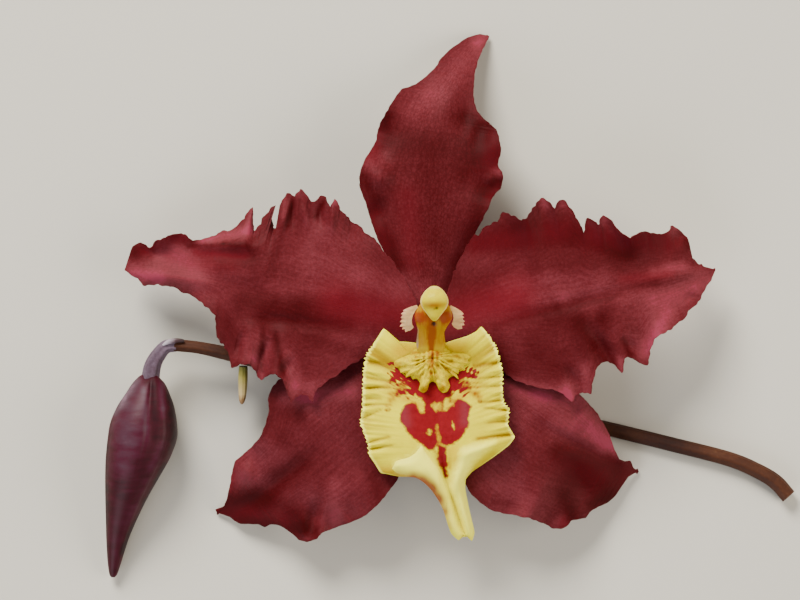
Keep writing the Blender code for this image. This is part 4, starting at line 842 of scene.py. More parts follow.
x, y, z, shares, across = blade_sheet(LIP, outline_shares, *LIP_GRID, fraying)
pleats = ripples(shares, across)
z = z + pleats
for x0, y0, x1, y1, width, height in CREASES:
    z = z + fold(x, y, 2 * x0 - x1, 2 * y0 - y1, x1, y1, width, CREASE_PUSH * height)
# The ring's border frays along spokes, most of all at its sides
from_x, from_y = x - RING_HEART[0], RING_HEART[1] - y
spoke = soft_noise(np.arctan2(from_x, from_y) * 20, np.hypot(from_x, from_y) * 0.4, 1.0, 4.4)
ring = inside_by(x, y, RING) + RING_RAGGED * spoke * np.clip((np.abs(x - 0.4) - 1.6) / 1.6, 0.1, 1)
red = np.maximum(inside_by(x, y, HEART), ring)
for *ends, half in RAYS + STRIPE:
    red = np.maximum(red, half - segment_distance(x, y, *ends))
for *ends, half in YELLOW_GAPS:
    red = np.minimum(red, segment_distance(x, y, *ends) - half)
# A hem all round is cream, and so are the rolled lobes, whose cream is their own pale colour with a painted
# highlight along the crest of each roll
cream = np.maximum(*(inside_by(x, y, land) for land in CREAM_LANDS))
cream = np.maximum(cream, (np.abs(across) - HEM_START) * HEM_SLOPE)


def lip_fields(x, y, red, cream, painted_ripple_shade=0):
    """The point attributes that the lip's skin reads."""
    return {"red": red, "rust": np.clip(strokes(x, y, RUST), 0, 0.9), "cream": cream,
            "shade": np.clip(strokes(x, y, PAINTED_SHADES) + painted_ripple_shade, 0, 0.8),
            "gold": np.clip(strokes(x, y, GOLDS), 0, 1), "blush": np.clip(strokes(x, y, BLUSHES), 0, 0.96),
            "painted_heart_sheen": strokes(x, y, PAINTED_HEART_SHEENS)}


# The hollows of the fine ripples get painted shade
lip = sheet_object("lip_blade", x, y, z, shares, across,
                   lip_fields(x, y, red, cream, np.clip(-RIPPLE_SHADE * pleats - 0.08, 0, 0.5)))
give_body(lip, len(across), LIP_BODY)
lip_material = lip_skin()
finish_piece(lip, lip_material, "lip")

# Its lower left edge is turned over onto its face, cream side up: from the fold line to the free edge
TURNOVER_FOLD = [
    (-5.7, -20.8), (-5.1, -21.4), (-3.8, -21.9), (-2.4, -22.1), (-1.2, -22.7), (-0.1, -23.7),
    (0.9, -25.0), (1.8, -26.6), (2.4, -28.2)]
TURNOVER_EDGE = [
    (-5.5, -20.4), (-5.0, -19.6), (-3.3, -19.1), (-2.2, -18.4), (-1.3, -17.4), (-0.7, -18.3),
    (0.3, -19.7), (1.3, -21.1), (2.6, -24.4)]
TURNOVER_RISE = [(0, -0.1), (0.25, 0.5), (0.6, 0.75), (0.9, 0.5), (1, 0.16)]  # above the lip's face
TURNOVER_GRID, TURNOVER_BODY, TURNOVER_GAP = (12, 15), 0.25, 0.05
NEIGHBOURS = 12  # points of the lip below each point, whose mean height it starts from
folded, free = (smooth_line(edge, TURNOVER_GRID[0]) for edge in (TURNOVER_FOLD, TURNOVER_EDGE))
out = np.linspace(0, 1, TURNOVER_GRID[1])
lip_x, lip_y, lip_z = x.ravel(), y.ravel(), z.ravel()
x, y = np.moveaxis(folded[:, None] + (free - folded)[:, None] * out[None, :, None], 2, 0)
z = np.zeros(x.shape)
for index in np.ndindex(x.shape):
    away = np.hypot(lip_x - x[index], lip_y - y[index])
    z[index] = lip_z[np.argpartition(away, NEIGHBOURS)[:NEIGHBOURS]].mean()
from_end = np.minimum(np.arange(len(x)), np.arange(len(x))[::-1])
z = z + eased(TURNOVER_RISE, out)[:, 0] * ramp(from_end, 0, 14)[:, None] ** 0.7 + TURNOVER_GAP
turnover = sheet_object("lip_turnover", x, y, z, np.linspace(0, 1, len(x)), out,
                        lip_fields(x, y, 0 * x - 3, 0 * x + 3))
give_body(turnover, len(out), TURNOVER_BODY, 0.8)
finish_piece(turnover, lip_material, "lip")


# The crest: a fleshy, wrinkled yellow collar on the lip under the column. It spreads in two toothed
# wings and ends below in two round knobs, on one sheet that is closed to the lip all round.
CREST_HEART = (0.4, -4.2)
CREST_FLOOR, CREST_TOP, CREST_GRID = 14.08, 16.4, (420, 26)
CREST_WALL, CREST_SWELL = 0.45, 0.75
WRINKLE_HEIGHT, WRINKLE_GRAIN = 0.55, 0.42
# The rim, counter-clockwise from the right wing's upper root
CREST_RIM = [
    (2.3, -2.6), (3.2, -3.3), (4.4, -3.4), (5.3, -3.5), (6.1, -4.0), (5.7, -4.5), (5.9, -5.0),
    (5.2, -5.2), (5.0, -5.9), (4.4, -6.0), (4.2, -6.6), (3.9, -6.3), (4.3, -7.4), (3.6, -6.9),
    (3.0, -7.1), (2.7, -7.5), (3.0, -8.3), (2.6, -9.2), (1.9, -9.4), (1.3, -8.9), (0.9, -8.0),
    (0.4, -7.7), (-0.1, -8.0), (-0.4, -9.0), (-1.0, -9.4), (-1.7, -9.0), (-1.5, -8.0), (-2.0, -7.3),
    (-2.6, -7.4), (-2.9, -6.9), (-3.6, -7.1), (-3.7, -6.5), (-4.4, -6.4), (-4.6, -5.8), (-5.2, -5.5),
    (-5.4, -4.8), (-4.7, -4.3), (-3.9, -4.0), (-3.0, -3.6), (-2.1, -2.8), (0.2, -2.2)]
# Lumps as (x, y, radius, height), the two round knobs first
KNOBS = [
    (-0.85, -8.5, 0.6, 1.15), (2.15, -8.45, 0.6, 1.15), (-1.1, -7.3, 0.5, 0.4), (2.0, -7.2, 0.5, 0.4),
    (0.1, -6.9, 0.4, 0.35), (0.9, -7.0, 0.4, 0.3), (-2.6, -6.4, 0.45, 0.3), (3.6, -6.3, 0.45, 0.3),
    (-4.6, -5.1, 0.6, 0.3), (5.2, -4.6, 0.6, 0.3), (0.3, -4.0, 1.6, 1.2)]
FAN_HEART = (0.3, -3.9)


def crest_skin():
    """Glossy chrome yellow flesh, deeper orange towards the column, with painted shade in its furrows and on
    the lower side of its knobs.
    """
    material, tree, place, deep = start_skin("glossy yellow crest", "deep")
    cells = add(tree, "ShaderNodeTexNoise", {"Vector": place, "Scale": 1500, "Detail": 2})
    amount = add(tree, "ShaderNodeMath", {0: cells.outputs["Fac"], 1: 0.5, 2: deep},
                 operation="MULTIPLY_ADD")
    colour = add(tree, "ShaderNodeValToRGB", {"Fac": amount.outputs[0]}, stops=[
        (0.2, "#d0ba00"), (0.42, "#b69400"), (0.66, "#a06400"), (0.95, "#803a00")])
    return finish_skin(material, colour.outputs["Color"], 0.38, 0.1, (0.2, (1.0, 0.7, 0.1), 0.4),
                       (cells.outputs["Fac"], 0.3, 0.06))


def dome(x, y, centre_x, centre_y, radius):
    """1 over a place, dying away round it."""
    return np.exp(-((x - centre_x) ** 2 + (y - centre_y) ** 2) / radius ** 2)


rim = smooth_line([*CREST_RIM, CREST_RIM[0]], 5, 0.7)
marks = np.concatenate([[0], np.cumsum(np.hypot(*np.diff(rim, axis=0).T))])
spread = np.linspace(0, marks[-1], CREST_GRID[0], endpoint=False)
out = np.linspace(0, 1, CREST_GRID[1] + 1)
x, y = (centre + (np.interp(spread, marks, line) - centre)[:, None] * out
        for centre, line in zip(CREST_HEART, rim.T))
# Wrinkles fan out from the foot of the column, with a fine grain over them
fan_turn = np.arctan2(x - FAN_HEART[0], FAN_HEART[1] - y)
fan_reach = np.hypot(x - FAN_HEART[0], y - FAN_HEART[1])
wrinkle = 0.5 - 1.6 * np.abs(soft_noise(fan_turn * 4.2, fan_reach * 0.45, 1.0, 2.2))
wrinkle = wrinkle * ramp(fan_reach, 0.8, 1.2) + WRINKLE_GRAIN * soft_noise(x, y, 0.5, 6.1)
body = 1 - out ** 8
z = CREST_FLOOR + (CREST_WALL + CREST_SWELL * np.sin(math.pi * out ** 0.75) ** 0.8) * body
z = z + WRINKLE_HEIGHT * wrinkle * body * ramp(out, 0, 0.2)
for *spot, height in KNOBS:
    z = z + height * dome(x, y, *spot) * (1 - out ** 12)
z[:, -1] = CREST_FLOOR
z = np.clip(z, CREST_FLOOR, CREST_TOP)
# The flesh is deeper orange under the column and along the middle, and painted shade darkens its furrows and
# the lower root of the two knobs
foot = ramp(y, -5.6, 1.2) * bell(x, 0.3, 2.4)
deep = 0.02 - 0.4 * wrinkle + foot * (0.1 + 0.7 * soft_noise(x, y * 0.25, 0.5, 7.7))
deep = deep + 0.4 * bell(x, 0.2, 0.4) * ramp(y, -7.0, 0.6)
for *spot, height in KNOBS[:2]:
    deep = deep + 0.2 * dome(x, y + 0.35, *spot)
x, y, z, deep = (np.vstack([field, field[:1]]) for field in (x, y, z, deep))
crest = sheet_object("crest_collar", x, y, z, np.linspace(0, 1, len(x)), out, {"deep": deep})
crest.modifiers.new("close", "WELD").merge_threshold = 0.001 * MM
settle(crest)
finish_piece(crest, crest_skin(), "crest")


# The column: the fused heart of the bloom, a fleshy stalk that stands on the ovary and leans out over
# the crest. The stigma is a pit in its face, and two red cheeks swell under the anther cap.
# Rings as (x, y, z, half width, half depth), then the cheeks as (x, y, radius)
COLUMN = [
    (0.1, -1.0, 11.7, 1.3, 1.2), (0.1, -1.2, 13.8, 1.7, 1.6), (0.1, -2.0, 15.0, 2.15, 2.6),
    (0.1, -1.4, 16.0, 2.1, 2.4), (0.15, 0.0, 17.1, 2.0, 1.9), (0.3, 1.1, 18.0, 2.35, 1.75),
    (0.5, 2.1, 18.9, 2.75, 1.6), (0.6, 3.1, 19.4, 2.4, 1.5), (0.7, 3.6, 19.6, 1.6, 1.3)]
CHEEKS = [(-1.9, 1.9, 0.9), (2.7, 1.9, 0.9)]


def loft(name, x, y, z, fields):
    """A smooth body through rings of points in millimetres on the bloom, closed at both ends."""
    count, sides = x.shape
    points = np.stack([x, y, z], 2) - (*FOOTPRINT_CENTRE, 0)
    places = np.vstack([points.reshape(-1, 3), points[0].mean(0), points[-1].mean(0)]) * MM
    pairs = [(j, (j + 1) % sides) for j in range(sides)]
    last = (count - 1) * sides
    faces = [(k + a, k + b, k + sides + b, k + sides + a) for k in range(0, last, sides) for a, b in pairs]
    for a, b in pairs:
        faces += [(count * sides, b, a), (count * sides + 1, last + a, last + b)]
    mesh = bpy.data.meshes.new(name)
    mesh.from_pydata(places.tolist(), [], faces)
    for key, values in fields.items():
        values = np.concatenate([values.ravel(), [values[0].mean(), values[-1].mean()]])
        mesh.attributes.new(key, "FLOAT", "POINT").data.foreach_set("value", values)
    mesh.validate()
    mesh.shade_smooth()
    return into_scene(name, mesh)


def column_skin():
    """Waxy flesh, amber with a burnt orange stripe and cheeks, greyish cream on its flanks."""
    shades = {"foot": "#b89600", "flank": "#a88c70", "stripe": "#8c4400", "cheek": "#93400c",
              "stigma": "#3a1a08"}
    material, tree, place, *layers = start_skin("waxy amber column", *shades)
    stretch = add(tree, "ShaderNodeMapping", {"Vector": place, "Scale": (3.0, 0.5, 0.5)}).outputs[0]
    streaks = add(tree, "ShaderNodeTexNoise", {"Vector": stretch, "Scale": 900, "Detail": 3}).outputs["Fac"]
    colour = painted(tree, "#b48c00", (streaks, "#945a00"))
    for layer, shade in zip(layers, shades.values()):
        rough = add(tree, "ShaderNodeMath", {0: streaks, 1: layer}, operation="ADD").outputs[0]
        mask = add(tree, "ShaderNodeMapRange", {0: rough, 1: 0.7, 2: 1.2, 3: 0.0, 4: 1.0}).outputs[0]
        colour = painted(tree, colour, (mask, shade))
    return finish_skin(material, colour, 0.45, 0.12, (0.15, (1.0, 0.5, 0.2), 0.4))


COLUMN_SIDES, COLUMN_STEPS = 72, 10
CHEEK_SWELL, CHEEK_SPREAD = 0.2, 0.4
STIGMA, STIGMA_DEPTH, STIGMA_LIFT = (0.5, 0.9, 0.35), 0.2, 0.15
turn = np.arange(COLUMN_SIDES) / COLUMN_SIDES * 2 * math.pi
line = smooth_line(COLUMN, COLUMN_STEPS)
front = np.clip(-np.sin(turn), 0, 1)
x = line[:, 0:1] + line[:, 3:4] * np.cos(turn)
y = line[:, 1:2] + line[:, 4:5] * (np.sin(turn) + 0.3 * front ** 4)
z = line[:, 2:3] + 0 * turn
for cheek in CHEEKS:
    swell = CHEEK_SWELL * dome(x, y, *cheek)
    x, z = x + np.sign(cheek[0]) * swell * CHEEK_SPREAD, z + swell
pit = dome(x, y, *STIGMA)
y, z = y + STIGMA_LIFT * pit, z - STIGMA_DEPTH * pit
column = loft("column_stalk", x, y, z, {
    "stripe": 1.15 - np.abs(x - 0.2) / np.where(y > -1.4, 1.0, 0.75) - np.clip(-y - 1.8, 0, 3) * 0.12,
    "cheek": 1.3 * np.exp(-((np.abs(x - 0.35) - 1.95) ** 2 / 1.3 + (y - 1.9) ** 2) / 1.1 ** 2) - 0.1,
    "flank": 0.9 * ramp(x, -1.6, -0.4) * ramp(y, 1.0, -1) * ramp(y, -3.4, 1),
    "foot": ramp(y, -1.6, -1.6), "stigma": pit})
finish_piece(column, column_skin(), "column")


# The wings beside the column: two thin cream flags, cut into teeth along their outer edge, that grow
# from under the anther cap and stand out and back over the petals.
LEFT_WING = {
    "rib": [
        (-1.9, 3.55, 19.35), (-2.8, 2.9, 19.25), (-3.3, 1.8, 18.95), (-3.4, 0.7, 18.4),
        (-3.2, -0.1, 17.9)],
    "left": [
        (-1.8, 3.4), (-2.2, 2.9), (-2.6, 2.2), (-2.75, 1.5), (-2.7, 0.9), (-2.5, 0.4), (-2.9, 0.0),
        (-3.2, -0.1)],
    "right": [
        (-2.0, 3.75), (-2.9, 3.5), (-3.7, 3.15), (-4.05, 2.95), (-3.95, 2.75), (-4.35, 2.45),
        (-4.1, 2.25), (-4.4, 1.85), (-4.15, 1.65), (-4.5, 1.25), (-4.2, 1.05), (-4.55, 0.55), (-4.1, 0.5),
        (-4.15, 0.1), (-3.8, 0.2), (-3.7, -0.3), (-3.2, -0.1)],
    "left_waves": [(0, 0, 0), (0.5, 0.1, 0), (1, 0, 0)],
    "right_waves": [(0, 0, 0), (0.3, -0.35, 0), (0.5, -0.2, 0), (0.7, -0.45, 0), (1, 0, 0)],
}
RIGHT_WING = {
    "rib": [(3.0, 3.5, 19.35), (3.9, 2.9, 19.25), (4.2, 1.8, 18.95), (4.2, 0.8, 18.4), (4.2, 0.1, 17.9)],
    "left": [
        (3.1, 3.7), (3.9, 3.3), (4.7, 2.8), (5.0, 2.4), (4.75, 2.2), (5.1, 1.9), (4.85, 1.7), (5.2, 1.3),
        (4.95, 1.15), (5.15, 0.75), (4.75, 0.75), (4.8, 0.2), (4.45, 0.35), (4.2, 0.1)],
    "right": [(2.9, 3.3), (3.3, 2.7), (3.5, 2.0), (3.45, 1.4), (3.25, 0.9), (3.6, 0.4), (4.2, 0.1)],
    "left_waves": [(0, 0, 0), (0.3, -0.35, 0), (0.5, -0.2, 0), (0.7, -0.45, 0), (1, 0, 0)],
    "right_waves": [(0, 0, 0), (0.5, 0.1, 0), (1, 0, 0)],
}
WING_BODY, WING_GRID = 0.3, (120, 12)
WING_CRINKLE, WING_CRINKLE_PITCH, WING_SEED = 0.08, 0.7, 9


def wing_skin():
    """Thin cream skin, veined in greyish pink and flushed pink on its teeth."""
    material, tree, place, edge = start_skin("papery cream wing", "edge")
    fan = add(tree, "ShaderNodeMapping", {"Vector": place, "Scale": (0.6, 3.0, 1)}).outputs[0]
    veins = add(tree, "ShaderNodeTexNoise", {"Vector": fan, "Scale": 900, "Detail": 2}).outputs["Fac"]
    colour = painted(tree, "#9c7440", (veins, "#e0b474"), (edge, "#c88468"))
    return finish_skin(material, colour, 0.5, below=(0.3, (1.0, 0.6, 0.4), 0.3))


wing_material = wing_skin()
for node, table_of, outer in (("left_column_wing", LEFT_WING, 1), ("right_column_wing", RIGHT_WING, -1)):
    x, y, z, shares, across = blade_sheet(table_of, rising_shares, *WING_GRID)
    z = z + WING_CRINKLE * soft_noise(x, y, WING_CRINKLE_PITCH, WING_SEED) * np.abs(across)
    wing = sheet_object(node + "_flag", x, y, z, shares, across,
                        {"edge": ramp(outer * across, 0.6, 0.4) ** 2 + 0 * x})
    give_body(wing, len(across), WING_BODY)
    finish_piece(wing, wing_material, node)


# The anther cap: a smooth yellow dome over the pollen, held on the tip of the column. Below the dome
# it is pinched and runs down in a keeled beak, and a paler rim goes round it.
# Rings as (y, half width, height over its middle, height of the middle)
CAP = [
    (6.6, 0.3, 0.2, 20.8), (6.4, 0.75, 0.5, 20.85), (6.0, 1.25, 0.9, 21.0), (5.5, 1.65, 1.25, 21.15),
    (4.9, 1.98, 1.5, 21.2), (4.3, 2.1, 1.5, 21.2), (3.8, 2.02, 1.3, 21.15), (3.3, 1.8, 1.0, 21.0),
    (2.9, 1.5, 0.82, 20.9), (2.4, 1.1, 0.7, 20.75), (1.9, 0.72, 0.55, 20.65), (1.55, 0.42, 0.34, 20.5),
    (1.35, 0.15, 0.12, 20.45)]
CAP_MIDDLE, CAP_FLOOR, CAP_STEPS, KEEL_HEIGHT = 0.63, 20.15, 6, 0.12


def cap_skin():
    """Satin lemon yellow, cream at the rim, warm in the pinch, with a brown speck there."""
    material, tree, place, rim, warm, speck = start_skin("satin yellow cap", "rim", "warm", "speck")
    clouds = add(tree, "ShaderNodeTexNoise", {"Vector": place, "Scale": 700, "Detail": 3}).outputs["Fac"]
    colour = painted(tree, "#bea600", (clouds, "#dcce00"), (warm, "#a86e00"), (rim, "#e8c878"),
                     (speck, "#3a2004"))
    return finish_skin(material, colour, 0.42, 0.1, (0.2, (1.0, 0.7, 0.3), 0.5))


line = smooth_line(CAP, CAP_STEPS)
x = CAP_MIDDLE + line[:, 1:2] * np.cos(turn)
y = line[:, 0:1] + 0 * turn
z = np.maximum(line[:, 3:4] + line[:, 2:3] * np.sin(turn), CAP_FLOOR)
z = z + KEEL_HEIGHT * bell(x, 0.75, 0.22) * ramp(y, 4.9, 1.2) * (np.sin(turn) > 0)
side = np.abs(np.cos(turn)) + 0 * x
cap = loft("anther_cap_dome", x, y, z, {
    "rim": ramp(side, 0.86, 0.1) * 0.8 + ramp(y, 6.0, 0.4) * 0.5,
    "warm": 0.95 * bell(y, 3.7, 0.5) * ramp(side, 1.2, -1),
    "speck": dome(x, y, 0.97, 3.3, 0.2) + 0.5 * dome(x, y, 0.6, 3.15, 0.15)})
finish_piece(cap, cap_skin(), "anther_cap")


# The stems: the flower spike with the stub of the bloom's stalk, and the stalks that are also the
# ovaries of bloom and bud. All are lengths of finely ribbed stem, with little raised pores on all but the
# bud's stalk.
# Paths as (x, y, z, radius)
RACHIS = [
    (54.2, -25.2, 1.2, 1.2), (52.2, -23, 1.2, 1.2), (49.4, -21.3, 1.17, 1.17), (45, -19.5, 1.15, 1.15),
    (36, -17.2, 1.12, 1.12), (27, -15, 1.12, 1.1), (18, -12.9, 1.2, 1.12), (9, -10.9, 1.7, 1.08),
    (-2, -9.2, 2.8, 1.06), (-13, -7.5, 4.1, 1.05), (-22, -5.7, 5.1, 1.05), (-28.4, -4.1, 5.7, 1.12),
    (-34.5, -2.75, 6.1, 0.95), (-38.5, -2.3, 6.2, 0.95)]
BLOOM_STALK = [(17.2, -12.8, 1.3, 0.8), (14.8, -11.6, 2.2, 0.85), (12, -9.8, 3.3, 0.85)]
BLOOM_OVARY = [
    (11.7, -9.6, 3.42, 0.85), (8, -7.2, 4.5, 0.95), (4.4, -4.9, 5.3, 1.15), (1.5, -2.7, 6.4, 1.5),
    (0.1, -1.3, 7.9, 1.75), (0, -1.2, 9.4, 1.85)]
BUD_OVARY = [
    (-38.3, -2.32, 6.2, 0.97), (-39.8, -2.6, 6.2, 1.02), (-41.1, -4.1, 6.0, 1.15),
    (-41.8, -5.6, 5.7, 1.3), (-42.15, -7.6, 5.45, 1.42)]
STEM_STEPS, STEM_SIDES = 12, 96
PORE_SIZE, PITH_RADIUS, PITH_DEPTH = 0.06, 0.95, 0.06
PORE_FLATNESS, PORE_DENSITY = 0.35, 60000.0  # pores to the square metre


def ribbed_stem_tree():
    """Geometry Nodes: a closed ribbed rind along a path, with raised pores strewn over it."""
    tree = bpy.data.node_groups.new("ribbed stem", "GeometryNodeTree")
    for name, kind in (("Path", "Geometry"), ("Ribs", "Int"), ("Rib depth", "Float"), ("Pores", "Float")):
        tree.interface.new_socket(name, in_out="INPUT", socket_type="NodeSocket" + kind)
    tree.interface.new_socket("Stem", in_out="OUTPUT", socket_type="NodeSocketGeometry")
    given = tree.nodes.new("NodeGroupInput").outputs
    circle = add(tree, "GeometryNodeCurvePrimitiveCircle", {
        "Resolution": STEM_SIDES, "Radius": MM}).outputs[0]
    wave = add(tree, "GeometryNodeSplineParameter").outputs["Factor"]
    for operation, by in (("MULTIPLY", 2 * math.pi), ("MULTIPLY", given["Ribs"]), ("COSINE", 0.0),
                          ("SUBTRACT", 1.0), ("MULTIPLY", given["Rib depth"])):
        wave = add(tree, "ShaderNodeMath", {0: wave, 1: by}, operation=operation).outputs[0]
    place = add(tree, "GeometryNodeInputPosition").outputs[0]
    push = add(tree, "ShaderNodeVectorMath", {0: place, "Scale": wave}, operation="SCALE").outputs[0]
    profile = add(tree, "GeometryNodeSetPosition", {"Geometry": circle, "Offset": push}).outputs[0]
    radius = add(tree, "GeometryNodeInputRadius").outputs[0]
    rind = add(tree, "GeometryNodeCurveToMesh", {
        "Curve": given["Path"], "Profile Curve": profile, "Scale": radius, "Fill Caps": True}).outputs[0]
    spots = add(tree, "GeometryNodeDistributePointsOnFaces", {
        "Mesh": rind, "Density": given["Pores"], "Seed": 5}).outputs
    pore = add(tree, "GeometryNodeMeshIcoSphere", {"Radius": MM, "Subdivisions": 2}).outputs[0]
    pore = add(tree, "GeometryNodeTransform", {
        "Geometry": pore, "Scale": (1.0, 1.0, PORE_FLATNESS)}).outputs[0]
    size = add(tree, "FunctionNodeRandomValue", {"Min": 0.6, "Max": 1.2, "Seed": 8}).outputs["Value"]
    size = add(tree, "ShaderNodeMath", {0: size, 1: PORE_SIZE}, operation="MULTIPLY").outputs[0]
    pores = add(tree, "GeometryNodeInstanceOnPoints", {
        "Points": spots["Points"], "Instance": pore, "Rotation": spots["Rotation"],
        "Scale": size}).outputs[0]
    whole = add(tree, "GeometryNodeJoinGeometry")
    tree.links.new(rind, whole.inputs[0])
    tree.links.new(pores, whole.inputs[0])
    real = add(tree, "GeometryNodeRealizeInstances", {"Geometry": whole.outputs[0]}).outputs[0]
    tree.links.new(real, tree.nodes.new("NodeGroupOutput").inputs[0])
    return tree


def stem(name, path, ribs=7, rib_depth=0.03, pores=PORE_DENSITY):
    """A length of stem along (x, y, z, radius) points, as a plain mesh."""
    curve = bpy.data.curves.new(name + " path", "CURVE")
    curve.dimensions = "3D"
    spline = curve.splines.new("POLY")
    line = smooth_line(path, STEM_STEPS)
    spline.points.add(len(line) - 1)
    for point, (*place, radius) in zip(spline.points, line):
        point.co = (*on_table(*place), 1)
        point.radius = radius
    guide = into_scene(name + " path", curve)
    nodes = guide.modifiers.new("stem", "NODES")
    nodes.node_group = STEM_TREE
    given = {"Ribs": ribs, "Rib depth": rib_depth, "Pores": pores}
    for item in STEM_TREE.interface.items_tree:
        if item.name in given:
            nodes[item.identifier] = given[item.name]
    mesh = made_mesh(guide, 60)
    bpy.data.objects.remove(guide)
    bpy.data.curves.remove(curve)
    return into_scene(name, mesh)


def stem_skin(name, stops, roughness, cut=None):
    """Rind whose colour drifts in streaks along the stem, with pale pith where it is cut."""
    material, tree, place = start_skin(name)
    drift = add(tree, "ShaderNodeTexNoise", {"Vector": place, "Scale": 130, "Detail": 2}).outputs["Fac"]
    fine = add(tree, "ShaderNodeTexNoise", {"Vector": place, "Scale": 2200, "Detail": 3}).outputs["Fac"]
    mix = add(tree, "ShaderNodeMath", {0: fine, 1: 0.35, 2: drift}, operation="MULTIPLY_ADD").outputs[0]
    colour = add(tree, "ShaderNodeValToRGB", {"Fac": mix}, stops=stops).outputs["Color"]
    if cut:
        end, inner = (np.array(on_table(*p)) for p in cut)
        axis = (inner - end) / np.linalg.norm(inner - end)
        off = add(tree, "ShaderNodeVectorMath", {0: place, 1: tuple(end)}, operation="SUBTRACT").outputs[0]
        deep = add(tree, "ShaderNodeVectorMath", {0: off, 1: tuple(axis)}, operation="DOT_PRODUCT")
        away = add(tree, "ShaderNodeVectorMath", {0: off}, operation="LENGTH")
        flat, near = (add(tree, "ShaderNodeMath", {0: far.outputs["Value"], 1: limit * MM},
                          operation="LESS_THAN").outputs[0]
                      for far, limit in ((deep, PITH_DEPTH), (away, PITH_RADIUS)))
        pith = add(tree, "ShaderNodeMath", {0: flat, 1: near}, operation="MULTIPLY").outputs[0]
        colour = painted(tree, colour, (pith, "#b8b070"))
    return finish_skin(material, colour, roughness, 0.2, relief=(fine, 0.3, 0.05))


STEM_TREE = ribbed_stem_tree()
brown = stem_skin(
    "brown ribbed stem", [(0.3, "#180600"), (0.55, "#2c1004"), (0.8, "#42200c"), (1.0, "#583820")],
    0.6, cut=[RACHIS[0][:3], RACHIS[1][:3]])
green = stem_skin("olive ribbed stalk", [(0.3, "#3c3010"), (0.6, "#5e5420"), (1.0, "#86803c")], 0.45)
mauve = stem_skin("mauve bloomed stalk", [(0.3, "#24101a"), (0.5, "#46323c"), (0.8, "#665664")], 0.6)
finish_piece(stem("rachis_spike", RACHIS), brown, "rachis")
finish_piece(stem("rachis_stub", BLOOM_STALK), brown, "rachis")
finish_piece(stem("bloom_ovary_stalk", BLOOM_OVARY, 6, 0.05), green, "bloom_ovary")
finish_piece(stem("bud_ovary_stalk", BUD_OVARY, 6, 0.07, 0.0), mauve, "bud_ovary")


# The bud: three sepals closed edge to edge on the end of their ovary. The one on the left laps over a
# dark channel, whose other side is the keeled edge of the next. Its skin is purple under grey wax.
# Rings as (x, y, z, half width, half height)
BUD = [
    (-42.15, -6.9, 5.45, 0.5, 0.5), (-42.2, -7.15, 5.4, 1.45, 1.45), (-42.25, -7.6, 5.4, 2.05, 2.05),
    (-42.35, -8.3, 5.4, 2.6, 2.6), (-42.5, -9.6, 5.4, 3.3, 3.3), (-42.8, -11.6, 5.3, 4.3, 4.3),
    (-43.1, -14, 5.2, 5.0, 5.0), (-43.3, -16.4, 5.1, 5.2, 5.1), (-44, -19.4, 4.9, 4.8, 4.8),
    (-44.9, -22.4, 4.5, 4.0, 4.1), (-45.8, -25.6, 4.0, 3.1, 3.3), (-46.6, -29, 3.3, 2.25, 2.4),
    (-47.2, -32, 2.6, 1.6, 1.7), (-47.6, -35, 1.9, 1.05, 1.05), (-47.8, -36.9, 1.4, 0.6, 0.6),
    (-47.85, -37.4, 1.3, 0.25, 0.25)]
CHANNEL_TURN, KEEL_TURN, THIRD = math.radians(74), math.radians(50), 2 * math.pi / 3
# Its painted sheen and shade as strokes (x, y, x, y, radius, strength), from dark crimson shade at 0
# to lit waxy mauve at 1: lighter on the lit left shoulder and along the keels, darker in a channel
# and down its outer edges
BUD_SHEEN_AND_SHADE = [
    (-45.6, -9.5, -45.4, -15.6, 2.0, 0.34), (-46, -18.5, -46.4, -20.5, 2.2, 0.16),
    (-46.4, -23, -46.4, -25, 1.5, -0.08), (-43.9, -7.6, -47.6, -12.4, 0.6, 0.3),
    (-43.0, -8.6, -42.6, -15.6, 0.6, 0.26), (-41.8, -7.6, -41.5, -12.6, 0.6, -0.12),
    (-41.3, -11.6, -41.1, -16.4, 0.9, -0.1), (-40.4, -8.4, -40.0, -12.8, 0.5, 0.3),
    (-38.7, -9.6, -38.4, -17.4, 1.0, -0.2), (-40.3, -17, -42, -20.8, 0.6, 0.2),
    (-42.6, -22.8, -44.4, -27.2, 0.6, 0.1), (-45.0, -28.2, -47.2, -34, 0.6, 0.1),
    (-39.8, -20.4, -46.6, -33.6, 0.5, -0.3), (-48.7, -14, -48.8, -34, 0.4, -0.12)]
BUD_SIDES, BUD_STEPS = 144, 9
CHANNEL_DEPTH, LAP_DEPTH, KEEL_RISE = 0.06, 0.03, 0.035  # shares of the bud's half width


def bud_skin():
    """Maroon skin under a greyish mauve bloom of wax, painted as a sheen that is brightest on the left
    sepal's shoulder where the light falls, with painted shade on its darker sides.
    """
    material, tree, place, painted_sheen_and_shade = start_skin("waxy purple bud", "painted_sheen_and_shade")
    across = add(tree, "ShaderNodeMapping", {"Vector": place, "Scale": (0.5, 1.6, 1.0)}).outputs[0]
    wrinkles = add(tree, "ShaderNodeTexNoise", {"Vector": across, "Scale": 480, "Detail": 4}).outputs["Fac"]
    amount = add(tree, "ShaderNodeMath", {0: wrinkles, 1: 0.6, 2: painted_sheen_and_shade}, operation="MULTIPLY_ADD").outputs[0]
    colour = add(tree, "ShaderNodeValToRGB", {"Fac": amount}, stops=[
        (0.1, "#1c0005"), (0.32, "#34020f"), (0.5, "#400c1f"), (0.66, "#43222e"), (0.84, "#4d343e"),
        (1.0, "#6a4e5c")]).outputs["Color"]
    return finish_skin(material, colour, 0.5, 0.2, (0.08, (1.0, 0.2, 0.3), 0.5), (wrinkles, 0.5, 0.2))


def around(turn, centre, width):
    """1 at this turn, falling to 0 either side of it."""
    return bell((turn - centre + math.pi) % (2 * math.pi), math.pi, width)


